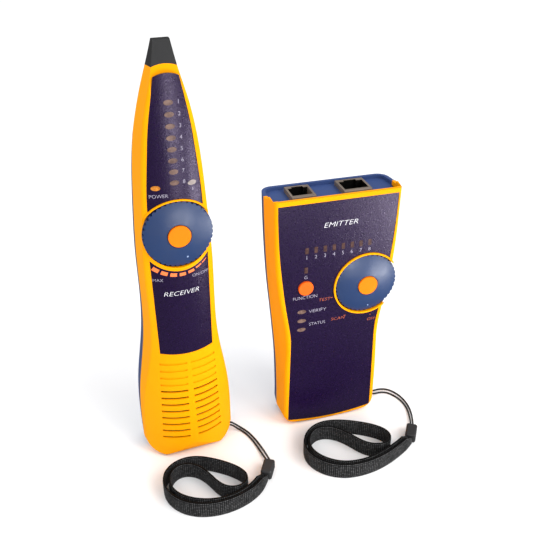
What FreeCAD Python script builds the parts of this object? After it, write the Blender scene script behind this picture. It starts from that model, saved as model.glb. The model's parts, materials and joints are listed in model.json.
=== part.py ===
import FreeCAD, Part
import math
import os

# Tone probe kit: a receiver (probe) and an emitter (toner) side by side, each with a wrist strap.
# Millimetres, +Z up, floor at z = 0, both faces look along -Y.
# Each device is drawn in its own frame: x across, y from the face to the back, z up from the floor.

# Placement of the two devices in the kit
EMITTER_X = 37.68
EMITTER_Y = -8.0
RECEIVER_X = -47.72
RECEIVER_Y = -11.9
RECEIVER_YAW = 4.0

# Shared sizes
WALL = 2.0
PANEL_RECESS = 0.3
PANEL_THICK = 0.6
BOARD_THICK = 1.6
SHAFT_R = 3.0
BUSHING_R = 4.4
BUSHING_GAP = 0.05
SHAFT_HOLE_R = 3.6
BLOCK_CELL = (48.5, 26.5, 17.5)
STUD_HEIGHT = 3.0
SCREW_R = 1.4
SCREW_HEAD_R = 2.6
BOSS_R = 3.4
HEAD_THICK = 1.8

# Emitter shell
E_DEPTH = 26.0
E_PART = 13.6
E_RIM_TOP = 150.8
E_BACK_TOP = 148.9
E_SHELF_TOP = 147.0
E_TALL = 160.0
E_LOW = -0.25
E_FRONT_SIDE = [(34.9, 160), (34.8, 135), (34.4, 116), (33.4, 103), (31.2, 87), (28.9, 74), (27.8, 64),
                (28.3, 45), (29.0, 20)]
E_PART_SIDE = [(37.3, 160), (37.0, 138), (36.3, 117), (34.9, 94), (33.2, 76), (31.8, 60), (30.5, 41),
               (30.2, 30), (30.0, 20)]
E_BACK_INSET = 1.6
E_BOTTOM_R = 160.0
E_CORNER_R = 8.0
E_PANEL_SIDE = [(33.4, 148.4), (33.2, 135), (32.3, 118), (30.8, 102.5), (28.9, 87.2), (26.9, 74.5),
                (25.75, 65.5), (25.7, 55), (26.1, 35), (26.6, 4.7)]
E_PANEL_LOW = 2.1
E_DIAL = (18.3, 94.8)
E_DIAL_R = 18.0
E_DIAL_FRONT = -2.4
E_WELL_FLOOR = 3.2
E_BOARD_Y = 5.2

# Receiver shell
R_DEPTH = 27.5
R_PART = 14.0
R_TOP = 234.2
R_LOW = -0.6
R_BACK_TOP = 204.0
R_FRONT_SIDE = [(2.2, 234.2), (5.7, 221.8), (8.5, 212), (13.1, 187), (15.6, 152), (16.9, 128),
                (16.9, 100), (17.4, 81), (19.3, 65), (21.8, 46), (23.2, 24)]
R_PART_SIDE = [(3.3, 234.2), (7.8, 221.8), (10.2, 211), (14.6, 187), (17.6, 152), (18.7, 128),
               (18.8, 100), (19.8, 81), (22.0, 65), (24.9, 46), (26.2, 24)]
R_FRONT_Y = -4.0
R_BACK_Y = 30.0
R_BACK_INSET = 1.4
R_BOTTOM_R = 110.0
R_CORNER_R = 9.0
R_CROWN_R = 32.0
R_CROWN_Y = -3.5
R_JOINT_Z = 221.6
R_JOINT_RISE = 3.0
R_DIAL_Z = 144.5
R_DIAL_R = 17.2
R_DIAL_FRONT = -5.4
R_WELL_FLOOR = 0.0
R_BOARD_Y = 3.4

# Emitter details
E_PANEL_BITE = 0.5
E_RING_R = 19.4
E_RING_FRONT = -0.6
E_BOWL_THICK = 1.6
E_OPEN_TOP = (35.2, 2.5, 141.0)
E_EAR_SLOPE = (9.0, 149.3)
E_SHELF_FRONT = 2.55
E_SHELF_ROOM = (32.0, 4.4, 3.5, 130.0, 1.8)
E_WINDOW_FIRST = -17.27
E_WINDOW_PITCH = 5.13
E_WINDOW = (1.9, 119.1, 122.7)
E_GROUND_WINDOW = (-18.45, -16.55, 107.3, 110.9)
E_STATUS_HEIGHTS = (82.65, 76.6, 70.6)
E_STATUS_WINDOW = (-21.9, -16.9, 1.25)
WINDOW_R = 0.3
WINDOW_FRONT = 0.2
WINDOW_BACK = 3.2
LAMP_FRONT = 3.9
BUTTON = (-17.5, 98.0)
BUTTON_R = 4.25
BUTTON_GAP = 0.2
BUTTON_FRONT = -0.9
BUTTON_SKIRT = 2.05
BUTTON_BACK = 2.7
PLUNGER_R = 1.5
PLUNGER_BACK = 4.1
BUTTON_SWITCH = (3.0, 3.6)
E_SCREWS = [(-23.5, 52.0), (23.5, 52.0), (-30.0, 137.0), (30.0, 137.0)]
E_SCREW_HEAD = 4.0
E_BOARD = (25.5, 56.0, 140.5)
E_CELL_AT = (-24.6, 4.6, 8.0)
E_DOOR = (25.25, 5.15, 38.85)
E_DOOR_GRIPS = (8.0, 28.0)

# Battery doors, snaps and screws
DOOR_GAP = 0.15
DOOR_FRONT = 4.15
GRIP_PITCH = 2.0
GRIP_HIGH = 0.9
GRIP_DEPTH = 0.6
GRIP_COUNT = 4
STUD_PITCH = 12.7
STUD_RADII = (2.8, 3.6)
SNAP_PLATE = (0.8, 3.6, 13.0)
CROSS = (1.7, 0.3, 0.9)

# Sockets on the emitter's top
JACKS = {
    "phone": {"x": -17.1, "half": 6.65, "y0": 7.0, "y1": 21.4, "hole": 5.55, "latch": 3.2, "wires": 6},
    "network": {"x": 13.0, "half": 7.9, "y0": 7.0, "y1": 21.9, "hole": 6.7, "latch": 3.6, "wires": 8},
}
JACK_TOP = 149.5
JACK_BOTTOM = 131.0
JACK_DEPTH = 13.5
JACK_LIP = 2.2
JACK_BACK = 2.6
JACK_LATCH_BACK = 1.1
CONTACT_PITCH = 1.02
CONTACT_WIDE = 0.44
CONTACT_SHELF = [(0.0, 0.5), (1.9, 0.9)]
CONTACT_UNDER = [(1.5, 1.4), (0.0, 1.0)]
CONTACT_TAIL = (2.9, 2.5)
CONTACT_LOW = 0.4

# Receiver details
R_CHIN_R = 11.5
R_OUTER_FILLETS = (3.6, 2.0)
R_SCREWS = [(-13.8, 76.0), (13.8, 76.0), (-9.5, 182.0), (9.5, 182.0)]
R_SCREW_HEAD = 2.5
R_RING_UP = 18.4
R_RING_LOW = 19.75
R_RING_RISE = 0.45
R_BOWL_THICK = 1.6
R_UPPER_SIDE = [(5.8, 219.8), (7.6, 210), (9.7, 198), (11.4, 183), (12.7, 170), (13.4, 157.5)]
R_UPPER_RISE = 1.5
R_LOWER_TOP = 137.5
R_LOWER_BOTTOM = 75.0
R_LOWER_HALF = (14.7, 14.3)
R_LOWER_SAG = 0.9
SPEAKER = (0.0, 33.0, 16.0)
SPEAKER_FRONT = 3.4
SPEAKER_BACK = 6.2
CONE_RIM = 2.5
CONE_SMALL = 5.0
CONE_DEPTH = 2.2
MAGNET = (8.5, 7.6)
GRILLE_POCKET = (18.5, 1.0, 12.5, 53.0)
SLOT_PITCH = 4.75
SLOT_LOW = 15.8
SLOT_HIGH = 1.35
SLOT_INNER = (2.2, 0.11)
SLOT_OUTER = (17.3, 0.2)
SLOT_R = 0.5
OPEN_SLOTS = 8
BLIND_SLOTS = 4
BLIND_DEPTH = 0.5
LEVEL_FIRST = 208.6
LEVEL_PITCH = 5.33
LEVEL_COUNT = 8
LEVEL_HALF = (2.15, 1.2)
SIGNAL_WINDOW = (6.3, 10.5, 168.7, 171.1)
POWER_WINDOW = (-10.9, -6.7, 168.1, 170.5)
R_WINDOW_BACK = 0.9
R_LAMP_FRONT = 1.2
EAR_Z = 123.0
EAR_Y = 18.2
EAR_R = 1.8
EAR_NOSE_R = 3.2
EAR_MOUTH = -18.0
EAR_NOSE = 3.4
EAR_BODY = (-14.9, -7.0, 3.4)
EAR_WALL = 1.5
R_BOARD = [(14.0, 72.5), (14.5, 110), (13.6, 150), (11.4, 178), (7.6, 200), (5.5, 210.3)]
R_CELL_AT = (7.8, 13.0)
R_DOOR = (15.85, 11.15, 65.85)
R_DOOR_GRIPS = (7.0, 52.0)
SPIGOT_LOW = 217.1
SPIGOT_HIGH = 2.5
SPIGOT_GAP = 0.05
PICKUP_R = 1.5
PICKUP_Y = 4.6
PICKUP_TOP = 229.0
PICKUP_LOW = 210.7
COIL_R = 3.0
COIL_LOW = 211.0
COIL_HIGH = 216.8

# Rotary controls: body size, depth behind the board, shaft end
E_ROTARY = (15.0, 7.0, 12.0)
R_ROTARY = (16.0, 8.0, 11.0)

# Dials
DIAL_GAP = 0.5
DIAL_NOTCHES = 40
NOTCH_R = 0.6
NOTCH_DEPTH = 1.6
SHAFT_SEAT = 1.6
DIAL_DOME_R = 56.0
CAP_R = 5.6
CAP_RISE = 0.35
CAP_GROOVE = (0.5, 1.1)
CAP_SEAT = 1.5
DOT_R = 0.55
DOT_DEPTH = 0.25
E_DOT = (14.4, 7.0)
R_DOT = (12.8, 16.0)

# Wrist straps
WEB_THICK = 1.3
WEB_HIGH = 10.4
STRING_D = 1.1
FERRULE = (10.5, 6.4, 6.4)
FERRULE_R = 1.3
WEB_TAPER = (8.0, 4.8, 7.0)

# Anchor of each string in its device's frame: pin centre, then the height of the slot's floor and ceiling
E_ANCHOR = (26.6, 10.8, 3.6, 7.4)
R_ANCHOR = (20.9, 9.0, 4.5, 8.3)
PIN_R = 0.9
PIN_END = 1.5
LUG = (2.4, 4.0, 2.3, 2.0)
ANCHOR_SLOT = (1.6, 12.0, 1.4)

# Strap routes in the emitter's frame
E_FERRULE = ((38.4, -34.2), (44.01, -25.32))
E_STRING_A = [(27.6, 10.8, 6.2), (31.2, 11.6, 4.6), (35.4, 13.6, 1.9), (40.8, 15.5, 0.7), (46.2, 13.6, 0.6),
              (50.2, 7.8, 0.6), (51.9, 0.4, 0.6), (51.6, -7.0, 0.8), (49.6, -14.0, 1.6), (47.2, -20.0, 2.6),
              (44.53, -25.65, 3.6)]
E_STRING_B = [(27.6, 10.8, 4.9), (31.4, 11.0, 2.8), (35.6, 11.8, 0.9), (40.2, 12.4, 0.6), (44.4, 10.8, 0.6),
              (47.8, 6.2, 0.6), (49.9, 0.0, 0.6), (50.0, -6.6, 0.6), (48.4, -13.2, 1.0), (46.2, -19.2, 1.8),
              (43.49, -24.99, 2.6)]
E_WEBBING = [(38.9, -35.0), (35.2, -38.2), (28.4, -42.0), (20.0, -45.9), (10.4, -48.9), (0.6, -50.0),
             (-8.6, -49.0), (-16.4, -45.2), (-22.4, -39.2), (-25.6, -31.6), (-24.6, -23.4),
             (-19.8, -16.6), (-12.4, -12.6), (-4.0, -12.6), (4.4, -15.2), (12.4, -19.2), (19.4, -23.8),
             (24.3, -29.0), (25.3, -34.6), (22.0, -38.8), (16.4, -39.4), (10.6, -37.0), (6.2, -32.2),
             (2.4, -26.0), (-2.4, -20.0), (-8.8, -16.2), (-15.6, -16.6), (-20.6, -21.4), (-22.9, -28.0),
             (-21.4, -35.0), (-16.6, -41.2), (-9.6, -45.8), (-1.0, -47.6), (8.4, -46.9), (17.4, -44.2),
             (25.8, -40.6), (32.6, -36.8), (37.2, -33.0)]
R_FERRULE = ((-51.6, -37.4), (-46.58, -28.18))
R_STRING_A = [(-64.1, 6.6, 7.2), (-60.8, 7.4, 6.3), (-57.8, 8.4, 2.5), (-54.4, 6.2, 0.6), (-51.4, 1.4, 0.6),
              (-49.2, -4.8, 0.6), (-47.7, -11.4, 0.9), (-46.7, -19.0, 1.9), (-46.05, -28.46, 3.6)]
R_STRING_B = [(-64.1, 6.6, 5.7), (-60.4, 6.2, 5.0), (-57.4, 5.6, 1.6), (-55.4, 4.6, 0.6), (-52.8, 0.0, 0.6),
              (-50.8, -5.8, 0.6), (-49.5, -12.0, 0.7), (-48.4, -19.4, 1.3), (-47.11, -27.90, 2.6)]
R_WEBBING = [(-51.1, -38.2), (-54.2, -43.4), (-60.0, -48.2), (-67.2, -51.6), (-75.4, -53.6),
             (-84.0, -53.8), (-92.2, -52.0), (-99.4, -48.0), (-104.8, -41.8), (-107.6, -34.0),
             (-106.4, -26.0), (-101.2, -20.2), (-93.8, -17.6), (-86.0, -18.6), (-78.4, -22.6),
             (-71.2, -27.8), (-65.4, -33.6), (-62.6, -39.2), (-64.4, -44.2), (-69.4, -46.4),
             (-75.2, -44.8), (-79.4, -39.8), (-82.2, -33.2), (-86.2, -26.4), (-92.2, -22.0),
             (-98.8, -22.4), (-103.4, -27.2), (-104.6, -34.2), (-101.8, -41.2), (-95.8, -46.6),
             (-88.0, -50.2), (-79.6, -51.6), (-71.4, -50.6), (-63.6, -47.4), (-57.4, -42.6),
             (-53.0, -36.6)]


def vec(x, y, z):
    return FreeCAD.Vector(x, y, z)


def box(x0, x1, y0, y1, z0, z1):
    return Part.makeBox(x1 - x0, y1 - y0, z1 - z0, vec(x0, y0, z0))


def rod_y(radius, x, z, y0, y1):
    return Part.makeCylinder(radius, y1 - y0, vec(x, y0, z), vec(0, 1, 0))


def group(shapes):
    return Part.makeCompound(shapes)


def below_floor():
    return box(-60, 60, -20, 60, -5, 0)


def smooth(points):
    curve = Part.BSplineCurve()
    curve.interpolate(points)
    return curve.toShape()


def prism(wire, depth):
    return Part.Face(wire).extrude(vec(0, depth, 0))


def rounded_block(x0, x1, y0, y1, z0, z1, radius):
    """A block whose four edges along Y are rounded."""
    block = box(x0, x1, y0, y1, z0, z1)
    edges = [e for e in block.Edges if abs(e.Vertexes[0].Y - e.Vertexes[1].Y) > 0.5 * (y1 - y0)]
    return block.makeFillet(radius, edges)


def outline(side, low, bottom_r, corner_r, inset, y):
    """Closed device outline in the plane y: curved sides, round lower corners, arched bottom, flat top."""
    points = [(w - inset, z) for w, z in side]
    half = points[-1][0]
    big = bottom_r - inset
    small = corner_r - inset
    base = low + inset
    corner_z = base + big - math.sqrt((big - small) ** 2 - (half - small) ** 2)
    points.append((half, corner_z))
    turn = math.atan2(base + big - corner_z, half - small)
    touch = (half - small + small * math.cos(turn), corner_z - small * math.sin(turn))
    middle = (half - small + small * math.cos(turn / 2), corner_z - small * math.sin(turn / 2))
    down = vec(0, 0, -1)
    right = Part.BSplineCurve()
    start = vec(points[1][0] - points[0][0], 0, points[1][1] - points[0][1]).normalize()
    right.interpolate(Points=[vec(w, y, z) for w, z in points], InitialTangent=start, FinalTangent=down)
    left = Part.BSplineCurve()
    finish = vec(start.x, 0, -start.z)
    left.interpolate(Points=[vec(-w, y, z) for w, z in reversed(points)], InitialTangent=-down,
                     FinalTangent=finish)
    top_w, top_z = points[0]
    edges = [
        right.toShape(),
        Part.Arc(vec(half, y, corner_z), vec(middle[0], y, middle[1]), vec(touch[0], y, touch[1])).toShape(),
        Part.Arc(vec(touch[0], y, touch[1]), vec(0, y, base), vec(-touch[0], y, touch[1])).toShape(),
        Part.Arc(vec(-touch[0], y, touch[1]), vec(-middle[0], y, middle[1]), vec(-half, y, corner_z)).toShape(),
        left.toShape(),
        Part.LineSegment(vec(-top_w, y, top_z), vec(top_w, y, top_z)).toShape(),
    ]
    return Part.Wire(edges)


def edges_at_y(shape, y, tolerance=0.02):
    """Edges that lie wholly in the plane y."""
    found = []
    for edge in shape.Edges:
        bounds = edge.BoundBox
        if abs(bounds.YMin - y) < tolerance and abs(bounds.YMax - y) < tolerance:
            found.append(edge)
    return found


def side_and_bottom(edges, top):
    return [e for e in edges if e.BoundBox.ZMin < top - 1.0]


# ---------------------------------------------------------------- emitter

def emitter_outline(side, inset, y):
    return outline(side, E_LOW, E_BOTTOM_R, E_CORNER_R, inset, y)


def emitter_front_blank(inset):
    wires = [emitter_outline(E_FRONT_SIDE, inset, inset), emitter_outline(E_PART_SIDE, inset, E_PART)]
    blank = Part.makeLoft(wires, True, True)
    radius = max(2.2 - inset, 0.3)
    return blank.makeFillet(radius, side_and_bottom(edges_at_y(blank, inset), E_TALL))


def emitter_back_blank(inset):
    back = E_DEPTH - inset
    wires = [emitter_outline(E_PART_SIDE, inset, E_PART),
             emitter_outline(E_PART_SIDE, inset + E_BACK_INSET, back)]
    blank = Part.makeLoft(wires, True, True)
    return blank.makeFillet(6.5 - inset, side_and_bottom(edges_at_y(blank, back), E_TALL))


def emitter_windows():
    """Openings for the lights: eight in a row, one for the screen wire, three status lights."""
    half = E_WINDOW[0] / 2
    wire = [(E_WINDOW_FIRST + E_WINDOW_PITCH * i - half, E_WINDOW_FIRST + E_WINDOW_PITCH * i + half,
             E_WINDOW[1], E_WINDOW[2]) for i in range(8)]
    x0, x1, rise = E_STATUS_WINDOW
    status = [(x0, x1, z - rise, z + rise) for z in E_STATUS_HEIGHTS]
    return {"wire": wire, "ground": [E_GROUND_WINDOW], "status": status}


def oval_block(bounds, y0, y1):
    """An elliptical column along Y that fills the given x and z bounds."""
    x0, x1, z0, z1 = bounds
    x = (x0 + x1) / 2
    z = (z0 + z1) / 2
    ring = Part.Ellipse(vec(x1, y0, z), vec(x, y0, z1), vec(x, y0, z))
    return prism(Part.Wire([ring.toShape()]), y1 - y0)


def window_block(kind, bounds, y0, y1):
    if kind in ("wire", "ground"):
        x0, x1, z0, z1 = bounds
        return rounded_block(x0, x1, y0, y1, z0, z1, WINDOW_R)
    return oval_block(bounds, y0, y1)


def emitter_window_tools(y0, y1):
    return [window_block(kind, b, y0, y1) for kind, bounds in emitter_windows().items() for b in bounds]


def emitter_panel_wire(inset, y):
    points = [(w - inset, z) for w, z in E_PANEL_SIDE]
    points[0] = (points[0][0], points[0][1] - inset)
    points[-1] = (points[-1][0], points[-1][1] + inset)
    right = smooth([vec(w, y, z) for w, z in points])
    left = smooth([vec(-w, y, z) for w, z in reversed(points)])
    low_w, low_z = points[-1]
    top_w, top_z = points[0]
    bottom = Part.Arc(vec(low_w, y, low_z), vec(0, y, E_PANEL_LOW + inset), vec(-low_w, y, low_z)).toShape()
    top = Part.LineSegment(vec(-top_w, y, top_z), vec(top_w, y, top_z)).toShape()
    return Part.Wire([right, bottom, left, top])


def emitter_front_cover():
    outer = emitter_front_blank(0).cut(box(-60, 60, -20, 60, E_RIM_TOP, E_TALL + 1))
    inner = emitter_front_blank(WALL)
    ring_area = Part.makeLoft([emitter_outline(E_FRONT_SIDE, 0, -1.0), emitter_outline(E_FRONT_SIDE, 0, 0.01)],
                              True, True)
    x, z = E_DIAL
    ring = rod_y(E_RING_R, x, z, E_RING_FRONT, 1.0).common(ring_area)
    bowl = rod_y(E_RING_R, x, z, 0.5, E_WELL_FLOOR + E_BOWL_THICK).common(outer)
    lug = anchor_lug(E_ANCHOR).common(outer)
    shell = outer.cut(inner).multiFuse([ring, bowl, lug])
    half, top_y, top_z = E_OPEN_TOP
    open_top = box(-half, half, top_y, E_PART + 1, top_z, 170)
    ear_slope = box(-60, 60, E_EAR_SLOPE[0], E_PART + 1, E_EAR_SLOPE[1], 170)
    panel_hollow = prism(emitter_panel_wire(0, -E_PANEL_BITE), E_PANEL_BITE + PANEL_RECESS + PANEL_THICK)
    tools = [
        rod_y(E_DIAL_R + DIAL_GAP, x, z, -3, E_WELL_FLOOR),
        rod_y(SHAFT_HOLE_R, x, z, 0, 8),
        rod_y(BUTTON_R + BUTTON_GAP, BUTTON[0], BUTTON[1], -1, 4),
        panel_hollow.cut(rod_y(E_RING_R, x, z, -2, 4)),
        open_top, ear_slope, below_floor(),
        anchor_slot(E_ANCHOR),
    ] + emitter_window_tools(-1, 4)
    shell = shell.cut(group(tools))
    posts = [rod_y(BOSS_R, sx, sz, 1.5, E_PART - 0.05).common(outer) for sx, sz in E_SCREWS]
    shell = shell.multiFuse(posts)
    return shell.cut(group([rod_y(SCREW_R, sx, sz, 6.0, 20) for sx, sz in E_SCREWS]))


def emitter_panel():
    x, z = E_DIAL
    plate = prism(emitter_panel_wire(0.08, PANEL_RECESS), PANEL_THICK)
    tools = [rod_y(E_RING_R + 0.05, x, z, -1, 4), rod_y(BUTTON_R + BUTTON_GAP, BUTTON[0], BUTTON[1], -1, 4)]
    return plate.cut(group(tools + emitter_window_tools(-1, 4)))


def door_zone(door, part_y, gap):
    """Space of a battery door: half width, bottom and top, grown by the gap around it."""
    half, low, high = door
    return box(-half - gap, half + gap, part_y + DOOR_FRONT - gap, part_y + 20, low - gap, high + gap)


def emitter_back_cover():
    outer = emitter_back_blank(0).cut(box(-60, 60, 0, 60, E_BACK_TOP, E_TALL + 1))
    shell = outer.cut(emitter_back_blank(WALL))
    low = E_OPEN_TOP[2]
    shelf_front = emitter_front_blank(WALL + 0.25).common(box(-60, 60, E_SHELF_FRONT, E_PART, low, E_SHELF_TOP))
    shelf_back = emitter_back_blank(WALL - 0.5).common(box(-60, 60, E_PART, 60, low, E_SHELF_TOP))
    shelf = shelf_front.fuse(shelf_back)
    half, front, back_wall, floor, roof = E_SHELF_ROOM
    hollow = box(-half, half, front, E_DEPTH - back_wall, floor, E_SHELF_TOP - roof)
    shelf = shelf.cut(hollow)
    shell = shell.fuse(shelf)
    tools = [jack_box(j, 0.05) for j in JACKS] + [door_zone(E_DOOR, E_PART, DOOR_GAP), below_floor()]
    tools += [rod_y(SCREW_R + 0.3, sx, sz, 10, 40) for sx, sz in E_SCREWS]
    posts = [rod_y(BOSS_R, sx, sz, E_PART + 0.05, E_DEPTH - 1).common(outer) for sx, sz in E_SCREWS]
    shell = shell.multiFuse(posts)
    heads = [rod_y(SCREW_HEAD_R + 0.3, sx, sz, E_DEPTH - E_SCREW_HEAD, 40) for sx, sz in E_SCREWS]
    return shell.cut(group(tools + heads))


def thumb_grooves(grips, back):
    """Shallow level grooves on a battery door: half width and first height."""
    half, first = grips
    return group([box(-half, half, back - GRIP_DEPTH, back + 1, first + GRIP_PITCH * i,
                      first + GRIP_PITCH * i + GRIP_HIGH) for i in range(GRIP_COUNT)])


def emitter_battery_cover():
    shell = emitter_back_blank(0).cut(emitter_back_blank(WALL))
    return shell.common(door_zone(E_DOOR, E_PART, 0)).cut(thumb_grooves(E_DOOR_GRIPS, E_DEPTH))


def sag(radius):
    """Drop of a dial's domed face at a distance from its centre."""
    return DIAL_DOME_R - math.sqrt(DIAL_DOME_R ** 2 - radius ** 2)


def dial(radius, front, back, dot_radius, dot_angle):
    """Domed dial about the Y axis at the origin: notched rim, groove and seat for the cap, index dot hollow.

    The dot's angle is counted from straight down towards +X.
    """
    dome = Part.makeSphere(DIAL_DOME_R, vec(0, front + DIAL_DOME_R, 0))
    disc = rod_y(radius, 0, 0, front - 1, back).common(dome)
    rim = front + sag(radius)
    notches = []
    for i in range(DIAL_NOTCHES):
        angle = 2 * math.pi * i / DIAL_NOTCHES
        notches.append(rod_y(NOTCH_R, radius * math.cos(angle), radius * math.sin(angle),
                             front - 1, rim + NOTCH_DEPTH))
    disc = disc.cut(group(notches))
    disc = disc.cut(rod_y(CAP_R + CAP_GROOVE[0], 0, 0, front - 1, front + CAP_GROOVE[1]))
    disc = disc.cut(rod_y(CAP_R + 0.02, 0, 0, front - 1, front + CAP_SEAT))
    turn = math.radians(dot_angle)
    disc = disc.cut(rod_y(DOT_R, dot_radius * math.sin(turn), -dot_radius * math.cos(turn), front - 1,
                          front + sag(dot_radius) + DOT_DEPTH))
    return disc.cut(rod_y(SHAFT_R, 0, 0, back - SHAFT_SEAT, back + 1))


def dial_cap(front):
    cap = rod_y(CAP_R, 0, 0, front - CAP_RISE, front + CAP_SEAT)
    return cap.makeFillet(0.3, edges_at_y(cap, front - CAP_RISE))


def shaft(back, end):
    return rod_y(SHAFT_R, 0, 0, back - SHAFT_SEAT, end)


def rotary_body(board_y, size, depth):
    """Switch or potentiometer behind the board, with its bushing through the board."""
    behind = board_y + BOARD_THICK
    half = size / 2
    body = rounded_block(-half, half, behind, behind + depth, -half, half, 1.5)
    body = body.fuse(rod_y(BUSHING_R, 0, 0, board_y - 0.1, behind + 0.5))
    return body.cut(rod_y(SHAFT_R + BUSHING_GAP, 0, 0, board_y - 1, behind + depth - 1.5))


def to_dial(shape, centre):
    moved = shape.copy()
    moved.translate(vec(centre[0], 0, centre[1]))
    return moved


def function_button():
    x, z = BUTTON
    cap = rod_y(BUTTON_R, x, z, BUTTON_FRONT, BUTTON_SKIRT)
    cap = cap.makeFillet(0.45, edges_at_y(cap, BUTTON_FRONT))
    return cap.fuse(rod_y(BUTTON_R + 1.0, x, z, BUTTON_SKIRT, BUTTON_BACK))


def button_plunger():
    x, z = BUTTON
    return rod_y(PLUNGER_R, x, z, BUTTON_BACK, PLUNGER_BACK)


def button_switch():
    x, z = BUTTON
    half, front = BUTTON_SWITCH
    body = box(x - half, x + half, front, E_BOARD_Y, z - half, z + half)
    return body.cut(rod_y(PLUNGER_R + BUSHING_GAP, x, z, front - 0.1, E_BOARD_Y - 0.2))


def window_set(kind):
    return group([window_block(kind, b, WINDOW_FRONT, WINDOW_BACK) for b in emitter_windows()[kind]])


def emitter_leds():
    lamps = []
    for bounds in emitter_windows().values():
        for x0, x1, z0, z1 in bounds:
            x = (x0 + x1) / 2
            z = (z0 + z1) / 2
            lamps.append(box(x - 0.8, x + 0.8, LAMP_FRONT, E_BOARD_Y, z - 1.2, z + 1.2))
    return group(lamps)


def jack_box(name, grow):
    j = JACKS[name]
    return box(j["x"] - j["half"] - grow, j["x"] + j["half"] + grow, j["y0"] - grow, j["y1"] + grow,
               JACK_BOTTOM, JACK_TOP)


def jack(name):
    """Socket housing: a deep opening with a latch notch behind it and a bevelled front edge."""
    j = JACKS[name]
    x = j["x"]
    low = JACK_TOP - JACK_DEPTH
    cavity = box(x - j["hole"], x + j["hole"], j["y0"] + JACK_LIP, j["y1"] - JACK_BACK, low, JACK_TOP + 1)
    latch = box(x - j["latch"], x + j["latch"], j["y1"] - JACK_BACK - 0.1, j["y1"] - JACK_LATCH_BACK, low,
                JACK_TOP + 1)
    body = jack_box(name, 0).cut(group([cavity, latch]))
    rim = [e for e in edges_at_y(body, j["y0"]) if e.BoundBox.ZMin > JACK_TOP - 0.1]
    return body.makeChamfer(0.4, rim)


def jack_contacts(name):
    """Spring wires that reach out from the socket's front wall and turn down into it."""
    j = JACKS[name]
    wires = []
    front = j["y0"] + JACK_LIP
    low = JACK_TOP - JACK_DEPTH + CONTACT_LOW
    side = [(front + y, JACK_TOP - drop) for y, drop in CONTACT_SHELF]
    side += [(front + y, low) for y in CONTACT_TAIL]
    side += [(front + y, JACK_TOP - drop) for y, drop in CONTACT_UNDER]
    for i in range(j["wires"]):
        x = j["x"] + CONTACT_PITCH * (i - (j["wires"] - 1) / 2) - CONTACT_WIDE / 2
        profile = Part.makePolygon([vec(x, y, z) for y, z in side + side[:1]])
        wires.append(Part.Face(profile).extrude(vec(CONTACT_WIDE, 0, 0)))
    return group(wires)


def emitter_board():
    x, z = E_DIAL
    half, low, high = E_BOARD
    plate = box(-half, half, E_BOARD_Y, E_BOARD_Y + BOARD_THICK, low, high)
    posts = [rod_y(BOSS_R + 0.4, sx, sz, 0, 20) for sx, sz in E_SCREWS]
    return plate.cut(group([rod_y(BUSHING_R, x, z, 0, 20)] + posts))


def emitter_chips():
    back = E_BOARD_Y + BOARD_THICK
    return group([box(-14, -2, back, back + 2.4, 108, 112), box(2, 12, back, back + 2.0, 118, 125),
                  box(-20, -12, back, back + 3.5, 70, 78)])


def cell_studs(base, pitch_way, out_way):
    """The two snap studs at the end of a nine-volt block, or their hollows in the snap."""
    return [Part.makeCylinder(radius, STUD_HEIGHT, base + pitch_way * (side * STUD_PITCH / 2), out_way)
            for side, radius in zip((-1, 1), STUD_RADII)]


def emitter_stud_base():
    long, wide, thick = BLOCK_CELL
    x, y, z = E_CELL_AT
    return vec(x + long - STUD_HEIGHT, y + thick / 2, z + wide / 2)


def emitter_battery():
    long, wide, thick = BLOCK_CELL
    x, y, z = E_CELL_AT
    cell = box(x, x + long - STUD_HEIGHT, y, y + thick, z, z + wide)
    return cell.multiFuse(cell_studs(emitter_stud_base(), vec(0, 0, 1), vec(1, 0, 0)))


def emitter_snap():
    base = emitter_stud_base()
    near, far, wide = SNAP_PLATE
    plate = box(base.x + near, base.x + far, base.y - wide / 2, base.y + wide / 2, 9.6,
                E_CELL_AT[2] + BLOCK_CELL[1] - 1.0)
    return plate.cut(group(cell_studs(base, vec(0, 0, 1), vec(1, 0, 0))))


def rounded_path(points):
    """Straight runs joined by tangent arcs; returns the wire, its length and its smallest radius."""
    edges = []
    radii = []
    at = points[0]
    for before, corner, after in zip(points, points[1:], points[2:]):
        a = (before - corner).normalize()
        b = (after - corner).normalize()
        run = min((corner - before).Length, (after - corner).Length)
        half_turn = (math.pi - a.getAngle(b)) / 2
        radius = 0.45 * run / math.tan(half_turn)
        trim = 0.45 * run
        start = corner + a * trim
        end = corner + b * trim
        axis = (a + b).normalize()
        middle = corner + axis * (math.hypot(trim, radius) - radius)
        edges.append(Part.LineSegment(at, start).toShape())
        edges.append(Part.Arc(start, middle, end).toShape())
        radii.append(radius)
        at = end
    edges.append(Part.LineSegment(at, points[-1]).toShape())
    return Part.Wire(edges), sum(e.Length for e in edges), min(radii)


def cord(name, points, diameter):
    path, length, tightest = rounded_path([vec(*p) for p in points])
    first = path.Edges[0]
    direction = first.tangentAt(first.FirstParameter)
    ring = Part.Wire(Part.makeCircle(diameter / 2, vec(*points[0]), direction))
    tube = path.makePipeShell([ring], True, False)
    ideal = math.pi * diameter ** 2 / 4 * length
    print(name, "length", round(length, 1), "smallest radius", round(tightest, 1),
          "volume ratio", round(tube.Volume / ideal, 3))
    return tube


def sloping_end(near, far):
    """Space above the two ends of the webbing, which get lower towards the sleeve."""
    run, low, half = WEB_TAPER
    top = 2 * WEB_HIGH
    corners = [vec(-run, -half, top), vec(-run, -half, WEB_HIGH), vec(0, -half, low), vec(run, -half, low),
               vec(run, -half, top)]
    wedge = Part.Face(Part.makePolygon(corners + corners[:1])).extrude(vec(0, 2 * half, 0))
    angle = math.degrees(math.atan2(far[1] - near[1], far[0] - near[0]))
    wedge.rotate(vec(0, 0, 0), vec(0, 0, 1), angle)
    wedge.translate(vec(near[0], near[1], 0))
    return wedge


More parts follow.
